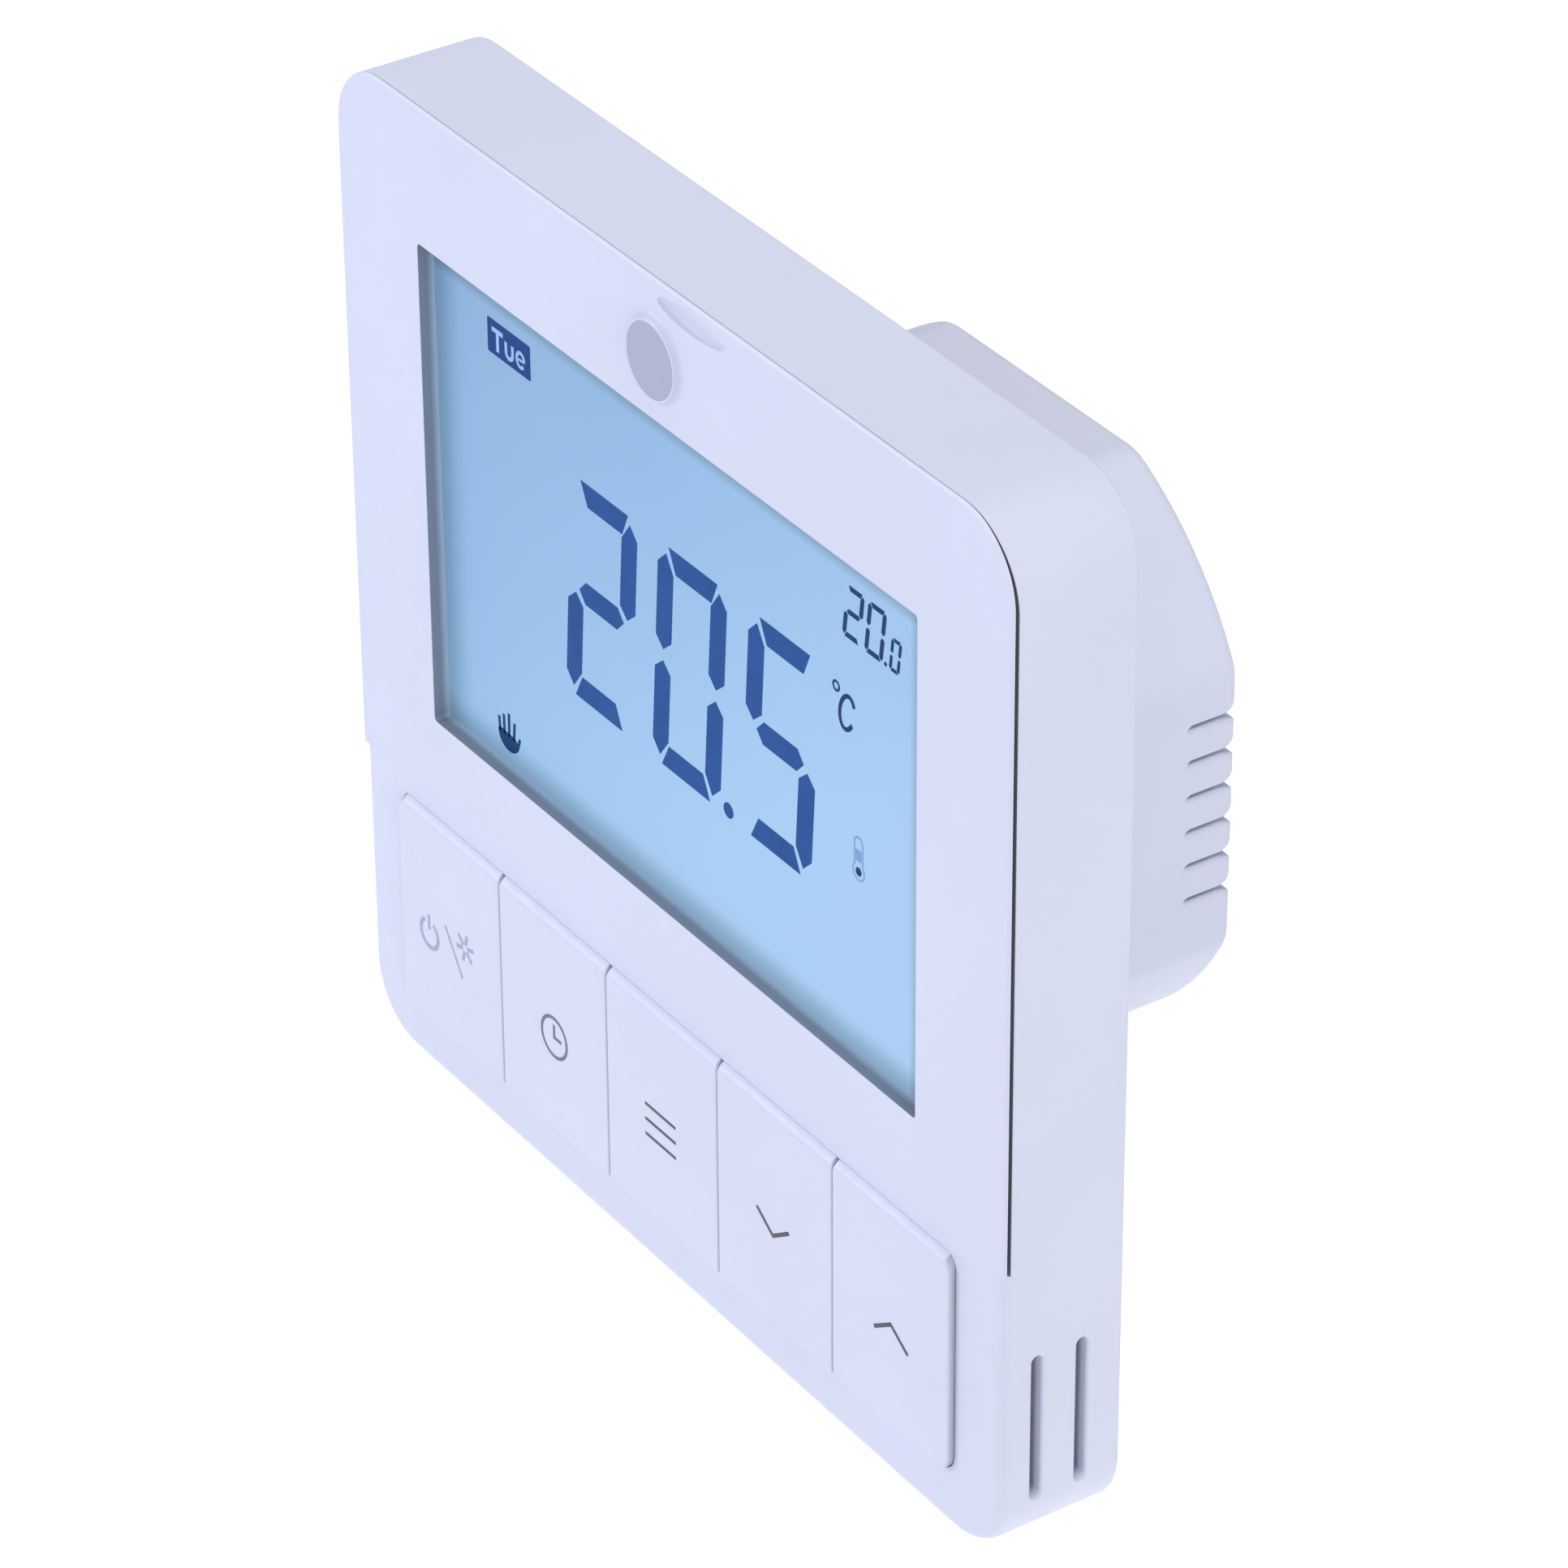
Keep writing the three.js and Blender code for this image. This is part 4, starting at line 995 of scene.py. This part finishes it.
def mitre_strip(points, width, closed):
    """The two sides of a stroke of even width along a line of (x, z) points."""
    points = [Vector(point) for point in points]
    ways = [(after - here).normalized() for here, after in zip(points, points[1:] + points[:1])]
    if not closed:
        ways[-1] = ways[-2]
    left, right = [], []
    for i, here in enumerate(points):
        before = ways[i - 1] if closed or i > 0 else ways[0]
        along = (before + ways[i]).normalized()
        normal = Vector((-along.y, along.x))
        square = Vector((-before.y, before.x))
        reach = width / 2 / max(normal.dot(square), MITRE_LIMIT)
        left.append(here + normal * reach)
        right.append(here - normal * reach)
    return left, right


def add_stroke(bm, points, width, y, thickness, closed=False):
    """A stroke as a thin closed plate; a closed stroke is a ring."""
    left, right = mitre_strip(points, width, closed)
    if closed:
        proud, sunk = y - thickness, y + thickness
        add_stack(bm, [(left, proud), (left, sunk), (right, sunk), (right, proud), (left, proud)])
    else:
        add_plate(bm, left + right[::-1], y, thickness)


SYMBOL_Z = -29.12
SYMBOL_STROKE = 0.3
CHEVRON_STROKE = 0.33
SYMBOL_INKS = {"power": "key_symbol_ink_pale", "clock": "key_symbol_ink_soft"}


def make_symbol(name):
    """The printed symbol on a key. Its strokes are drawn from the middle of the key's row."""
    low, high = box_mm(f"key_{name}")
    centre_x = (low.x + high.x) / 2
    bm = bmesh.new()

    def stroke(points, width=SYMBOL_STROKE, closed=False):
        placed = [(centre_x + x, SYMBOL_Z + z) for x, z in points]
        add_stroke(bm, placed, width, low.y, SYMBOL_THICKNESS, closed)

    SYMBOLS[name](stroke)
    ink = SYMBOL_INKS.get(name, "key_symbol_ink")
    symbol = make_object(f"{name}_key_symbol", bm, [MATERIALS[ink]], smooth=False)
    place(symbol, f"{name}_key", None)


def power_symbol(stroke):
    """Standby ring, a divider, and a small frost star."""
    ring_x, ring_z, radius = -3.0, -0.38, 1.25
    stroke(ellipse(ring_x, ring_z, radius, radius, 120, 420), 0.4)
    stroke([(ring_x, ring_z + 0.4), (ring_x, ring_z + 1.75)], 0.34)
    stroke([(-0.6, 1.72), (1.8, -1.98)], 0.26)
    star_x, star_z, arm_start, arm_end = 2.3, 1.12, 0.34, 1.3
    starts, ends = (arc(star_x, star_z, reach, 15, 315, 5) for reach in (arm_start, arm_end))
    for arm in zip(starts, ends):
        stroke(arm, 0.36)


def clock_symbol(stroke):
    cx, cz, radius = 0.1, 0.05, 1.75
    minute_hand, hour_hand = 1.15, 1.0
    stroke(circle(cx, cz, radius, ROUND_STEPS), closed=True)
    stroke([(cx, cz + minute_hand), (cx, cz), (cx + hour_hand, cz)])


def menu_symbol(stroke):
    pitch = 1.37
    for z in (pitch, 0, -pitch):
        stroke([(-2.2, z), (1.95, z)], 0.27)


def down_symbol(stroke):
    stroke([(-2.2, 0.82), (-0.1, -0.68), (2.0, 0.77)], CHEVRON_STROKE)


def up_symbol(stroke):
    stroke([(-2.05, -0.83), (0.05, 0.57), (2.2, -0.88)], CHEVRON_STROKE)


SYMBOLS = {
    "power": power_symbol,
    "clock": clock_symbol,
    "menu": menu_symbol,
    "down": down_symbol,
    "up": up_symbol,
}


# ---------------- display

# The segments that each figure lights, named as usual: a at the top, round to g across the middle
FIGURES = {"2": "abged", "0": "abcdef", "5": "afgcd"}


def make_display():
    """The display module: one glass plate with fine chamfers, lit from behind."""
    low, high = glass_low, glass_high

    def ring(inset, y):
        sides = (low.x + inset, high.x - inset, low.z + inset, high.z - inset)
        return rect_outline(*sides, [DISPLAY_CORNER - inset] * 4, 3), y

    chamfer = DISPLAY_CHAMFER
    front = [ring(chamfer, low.y), ring(0.0, low.y + chamfer)]
    back = [ring(0.0, high.y - chamfer), ring(chamfer, high.y)]
    panel = make_object("display_panel", one_solid(front + back), [MATERIALS["display_glass"]])
    even_normals(panel)
    place(panel, "housing", "display_glass", "display_glass")


def figure_segments(width, half_height, stroke):
    """Outlines of the seven segments, with the origin at the figure's left edge, half way up.

    The gaps and points are shares of the stroke.
    """
    w, h, s = width, half_height, stroke

    def upright(outer, inner, sign):
        """A post with a blunt point at the middle end and a mitred one at the far end."""
        tip = (outer + inner) / 2
        return [
            (outer, sign * 0.73 * s),
            (tip, sign * 0.25 * s),
            (inner, sign * 0.73 * s),
            (inner, sign * (h - 1.15 * s)),
            (tip, sign * (h - 0.35 * s)),
            (outer, sign * (h - 0.9 * s)),
        ]

    middle = [
        (0.77 * s, 0),
        (1.21 * s, s / 2),
        (w - 1.21 * s, s / 2),
        (w - 0.77 * s, 0),
        (w - 1.21 * s, -s / 2),
        (1.21 * s, -s / 2),
    ]
    post = 1.06 * s
    return {
        "a": [(0.69 * s, h), (w - 0.67 * s, h), (w - 1.03 * s, h - s), (1.22 * s, h - s)],
        "b": upright(w, w - post, 1),
        "c": upright(w, w - post, -1),
        "d": [(0.67 * s, -h), (w - 0.68 * s, -h), (w - 1.2 * s, s - h), (1.1 * s, s - h)],
        "e": upright(0, post, -1),
        "f": upright(0, post, 1),
        "g": middle,
    }


def add_figures(bm, placed, z, width, half_height, stroke, slant):
    """Seven-segment figures in one row, leaning a little to the right."""
    segments = figure_segments(width, half_height, stroke)
    for figure, x in placed:
        for letter in FIGURES[figure]:
            outline = [(x + px + slant * pz, z + pz) for px, pz in segments[letter]]
            add_mark(bm, outline)


def add_mark(bm, outline):
    add_plate(bm, outline, FACE_BACK_Y, MARK_THICKNESS)


def add_line(bm, points, width, closed=False):
    add_stroke(bm, points, width, FACE_BACK_Y, MARK_THICKNESS, closed)


def draw_reading(bm):
    """The measured temperature in large figures."""
    placed = (("2", -14.38), ("0", -2.76), ("5", 8.88))
    add_figures(bm, placed, z=11.03, width=8.9, half_height=9.45, stroke=1.92, slant=0.07)
    add_mark(bm, circle(6.6, 2.12, 0.64, 16))


def draw_set_value(bm):
    """The set temperature in small figures, with a smaller tenth."""
    placed = (("2", 21.38), ("0", 24.05))
    add_figures(bm, placed, z=26.42, width=2.2, half_height=2.15, stroke=0.42, slant=0.13)
    add_figures(bm, (("0", 26.92),), z=25.65, width=1.24, half_height=1.38, stroke=0.3, slant=0.13)
    add_mark(bm, circle(26.35, 24.45, 0.18, 8))


def draw_unit(bm):
    """The degree sign and the C beside it, which leans like the figures."""
    add_line(bm, circle(20.36, 19.68, 0.37, 16), 0.2, closed=True)
    letter = ellipse(21.68, 18.12, 0.86, 1.42, 32, 328, 24)
    add_line(bm, [(x + 0.17 * (z - 18.1), z) for x, z in letter], 0.36)


def draw_weekday_box(bm):
    add_mark(bm, rect_outline(-24.72, -18.9, 25.58, 28.46, (0.12,) * 4, 2))


def draw_weekday(bm):
    """The weekday, in light strokes on its dark box."""
    base, cap, small = 26.1, 27.68, 27.4

    def stroke(points, width):
        add_stroke(bm, points, width, FACE_BACK_Y - MARK_THICKNESS, MARK_THICKNESS / 2)

    stroke([(-24.1, cap), (-22.6, cap)], 0.38)
    stroke([(-23.35, cap - 0.19), (-23.35, base - 0.1)], 0.38)
    u_left, u_right = -22.2, -21.3
    bowl = ellipse((u_left + u_right) / 2, base + 0.48, (u_right - u_left) / 2, 0.42, 180, 360, 10)
    stroke([(u_left, small)] + bowl + [(u_right, small)], 0.34)
    e_x, e_z = -20.22, (base + small) / 2
    stroke([(e_x - 0.4, e_z), (e_x + 0.44, e_z)], 0.22)
    stroke(ellipse(e_x, e_z, 0.52, 0.6, 0, 318, 20), 0.3)


THERMOMETER_X = 23.1
THERMOMETER_BULB_Z = 5.75


def draw_thermometer(bm):
    """The outline of a wide tube that ends in a bulb, and its column."""
    x, top, tube, bulb = THERMOMETER_X, 8.1, 0.5, 0.7
    outline = ellipse(x, top, tube, tube, 0, 180, 12)
    outline += ellipse(x, THERMOMETER_BULB_Z, bulb, bulb, 135, 405, 18)
    add_line(bm, outline, 0.14, closed=True)
    add_mark(bm, rect_outline(x - 0.34, x + 0.34, 6.6, 7.55, (0.05,) * 4, 2))


def draw_thermometer_bulb(bm):
    add_mark(bm, circle(THERMOMETER_X, THERMOMETER_BULB_Z, 0.36, 16))


def draw_hand(bm):
    """An open hand: manual setting."""
    palm = ellipse(-23.45, -7.15, 1.5, 1.32, 175, 350, 18)
    palm += [(-21.75, -6.75), (-22.0, -6.6), (-22.3, -7.25), (-22.55, -6.95), (-24.8, -6.85)]
    add_mark(bm, palm)
    finger_foot_z, finger_width = -7.2, 0.32
    fingers = (
        (-24.68, -24.8, -5.95),
        (-24.08, -24.12, -5.5),
        (-23.42, -23.38, -5.1),
        (-22.76, -22.6, -5.6),
    )
    for foot, tip, top in fingers:
        add_line(bm, [(foot, finger_foot_z), (tip, top)], finger_width)


# What draws each mark on the display, and its material
DISPLAY_MARKS = {
    "display_reading": (draw_reading, "display_segment"),
    "display_set_value": (draw_set_value, "display_glyph"),
    "display_unit": (draw_unit, "display_glyph"),
    "display_weekday_box": (draw_weekday_box, "display_weekday_box"),
    "display_weekday": (draw_weekday, "display_letters"),
    "display_thermometer": (draw_thermometer, "display_glyph_pale"),
    "display_thermometer_bulb": (draw_thermometer_bulb, "display_glyph"),
    "display_hand": (draw_hand, "display_glyph"),
}


def make_display_marks():
    for name, (draw, material) in DISPLAY_MARKS.items():
        bm = bmesh.new()
        draw(bm)
        mark = make_object(name, bm, [MATERIALS[material]], smooth=False)
        place(mark, "housing", "display_glass")


# ---------------- rear housing


def hollow_cutter():
    """The hollow of the rear box."""
    inner = flatted_circle(BOX_RADIUS - BOX_WALL, BOX_HALF_FLATS - BOX_WALL, BOX_FILLET - BOX_WALL)
    return one_solid([(inner, -BASE_THICKNESS - 2 * PAST), (inner, housing_high.y - BOX_WALL)])


def box_slot_rings(side, low):
    """One comb slot: its floor slopes down to the outside, and it flares at the rear edge."""
    mouth = BOX_HALF_FLATS
    throat = mouth - BOX_SLOT_MOUTH
    inner = mouth - BOX_SLOT_REACH
    high = low + BOX_SLOT_HEIGHT
    floor = low + BOX_SLOT_SLOPE
    rings = []
    for back, flare in BOX_SLOT_FLARE:
        outline = [
            (mouth + PAST, low - flare - BOX_SLOT_SLOPE), (mouth, low - flare),
            (throat, floor - flare), (inner, floor - flare),
            (inner, high + flare), (throat, high + flare), (mouth, high + flare),
            (mouth + PAST, high + flare),
        ]
        rings.append(([(side * x, z) for x, z in outline], housing_high.y + back))
    return rings


def housing_slots():
    """The comb slots, the snap notches and the terminals' opening."""
    bm = bmesh.new()
    span = (BOX_SLOT_COUNT - 1) * BOX_SLOT_PITCH
    lowest = BOX_SLOT_CENTRE_Z - span / 2 - BOX_SLOT_HEIGHT / 2
    for side in (-1, 1):
        for i in range(BOX_SLOT_COUNT):
            add_solid(bm, box_slot_rings(side, lowest + i * BOX_SLOT_PITCH))
        ends = (side * (housing_high.z - NOTCH_DEPTH), side * (housing_high.z + PAST))
        add_box(bm, (-NOTCH_HALF_LENGTH, NOTCH_Y, min(ends)), (NOTCH_HALF_LENGTH, PAST, max(ends)))
    half = block_high.x + BOX_OPENING_GAP
    top = block_high.z + BOX_OPENING_GAP
    add_box(bm, (-half, BOX_OPENING_Y, -BOX_RADIUS - PAST), (half, housing_high.y + PAST, top))
    return bm


def fixing_cutters(half_width, half_height, corner, end_y):
    """One cutter at each fixing screw, from the front of the plate to a depth."""
    bm = bmesh.new()
    for x in (-FIXING_X, FIXING_X):
        sides = (x - half_width, x + half_width, -half_height, half_height)
        outline = rect_outline(*sides, (corner,) * 4, 8)
        add_solid(bm, [(outline, -BASE_THICKNESS - PAST), (outline, end_y)])
    return bm


def fixing_slots():
    return fixing_cutters(FIXING_HALF_LENGTH, FIXING_HALF_WIDTH, FIXING_HALF_WIDTH, PAST)


def fixing_seats():
    end_y = -BASE_THICKNESS + SEAT_DEPTH
    return fixing_cutters(SEAT_HALF_WIDTH, SEAT_HALF_HEIGHT, SEAT_CORNER, end_y)


def plate_solid():
    half = housing_high.x
    plate = rect_outline(-half, half, -half, half, (BASE_CORNER,) * 4)
    return one_solid([(plate, -BASE_THICKNESS), (plate, 0)])


def box_solid():
    outline = flatted_circle(BOX_RADIUS, BOX_HALF_FLATS, BOX_FILLET)
    rings = [(outline, -0.5 * BASE_THICKNESS)]
    for inset, depth in reversed(edge_profile(BOX_EDGE, 6)):
        rounded = flatted_circle(BOX_RADIUS - inset, BOX_HALF_FLATS - inset, BOX_FILLET - inset)
        rings.append((rounded, housing_high.y - depth))
    return one_solid(rings)


def make_housing():
    housing = make_object("rear_housing_moulding", plate_solid(), [MATERIALS["box_plastic"]])
    combine(housing, box_solid(), "UNION")
    for cutter in (hollow_cutter(), housing_slots(), fixing_seats(), fixing_slots()):
        combine(housing, cutter, "DIFFERENCE")
    soften(housing, HOUSING_BEVEL)
    even_normals(housing)
    place(housing, "housing", "box_plastic", "rear_housing")


# ---------------- floor, light and camera

FLOOR_Z = -110.0
FLOOR_HALF_SIZE = 6000.0

# Each light's place in metres, its size, its power in watts and its colour. All aim at the origin.
LIGHTS = {
    "front_light": ((-0.95, -1.05, 0.45), 0.6, 9.8, (0.8, 0.83, 1.0)),
    "right_light": ((1.25, -0.3, 0.3), 0.7, 5.4, (1.0, 0.985, 0.96)),
    "top_light": ((0.1, 0.0, 1.4), 0.8, 11.7, (1.0, 0.985, 0.95)),
}
WORLD_COLOUR = (0.97, 0.975, 1.0, 1)
WORLD_STRENGTH = 0.43

# The camera's place in metres and its turn in degrees, which give the photo's view
CAMERA_PLACE = (0.37275, -0.24915, 0.28334)
CAMERA_TURN = (57.4947, 0.3283, 56.0086)
CAMERA_LENS = 166.34


def make_floor():
    """A plain pale floor that reaches far behind the object."""
    m = Nodes("studio_floor")
    m.colour(m.tones(6, 2, (0.93, 0.93, 0.935), (0.95, 0.95, 0.955)))
    m.set(Roughness=0.9, Specular_IOR_Level=0.1)
    m.set(Emission_Color=(1, 1, 1, 1), Emission_Strength=0.2)
    half = FLOOR_HALF_SIZE
    corners = [(-half, -half), (half, -half), (half, half), (-half, half)]
    bm = bmesh.new()
    bm.faces.new([bm.verts.new((x, y, FLOOR_Z)) for x, y in corners])
    floor = make_object("studio_floor", bm, [m.material], smooth=False)


def make_light():
    world = bpy.data.worlds.new("studio")
    world.use_nodes = True
    background = world.node_tree.nodes["Background"]
    background.inputs["Color"].default_value = WORLD_COLOUR
    background.inputs["Strength"].default_value = WORLD_STRENGTH
    bpy.context.scene.world = world
    for name, (place_at, size, power, colour) in LIGHTS.items():
        light = bpy.data.lights.new(name, "AREA")
        light.shape = "DISK"
        light.size = size
        light.energy = power
        light.color = colour
        obj = bpy.data.objects.new(name, light)
        link_to_scene(obj)
        obj.location = place_at
        obj.rotation_euler = (-Vector(place_at)).to_track_quat("-Z", "Y").to_euler()


def make_camera():
    camera = bpy.data.cameras.new("photo_camera")
    camera.sensor_width = 36
    camera.lens = CAMERA_LENS
    camera.clip_start = 0.01
    camera.clip_end = 20
    obj = bpy.data.objects.new("photo_camera", camera)
    link_to_scene(obj)
    turn = Euler([math.radians(angle) for angle in CAMERA_TURN])
    obj.matrix_world = Matrix.LocRotScale(Vector(CAMERA_PLACE), turn, None)
    bpy.context.scene.camera = obj


def set_view():
    view = bpy.context.scene.view_settings
    view.view_transform = "Standard"
    view.look = "None"
    view.exposure = 0
    view.gamma = 1


# ---------------- assembly

make_camera()
set_view()
make_light()
make_floor()
paint_frame_nodes()
make_cover()
make_badge()
for key_index, key_name in enumerate(KEY_NAMES):
    make_key(key_name, key_index)
for key_name in KEY_NAMES:
    make_symbol(key_name)
make_display()
make_display_marks()
make_housing()
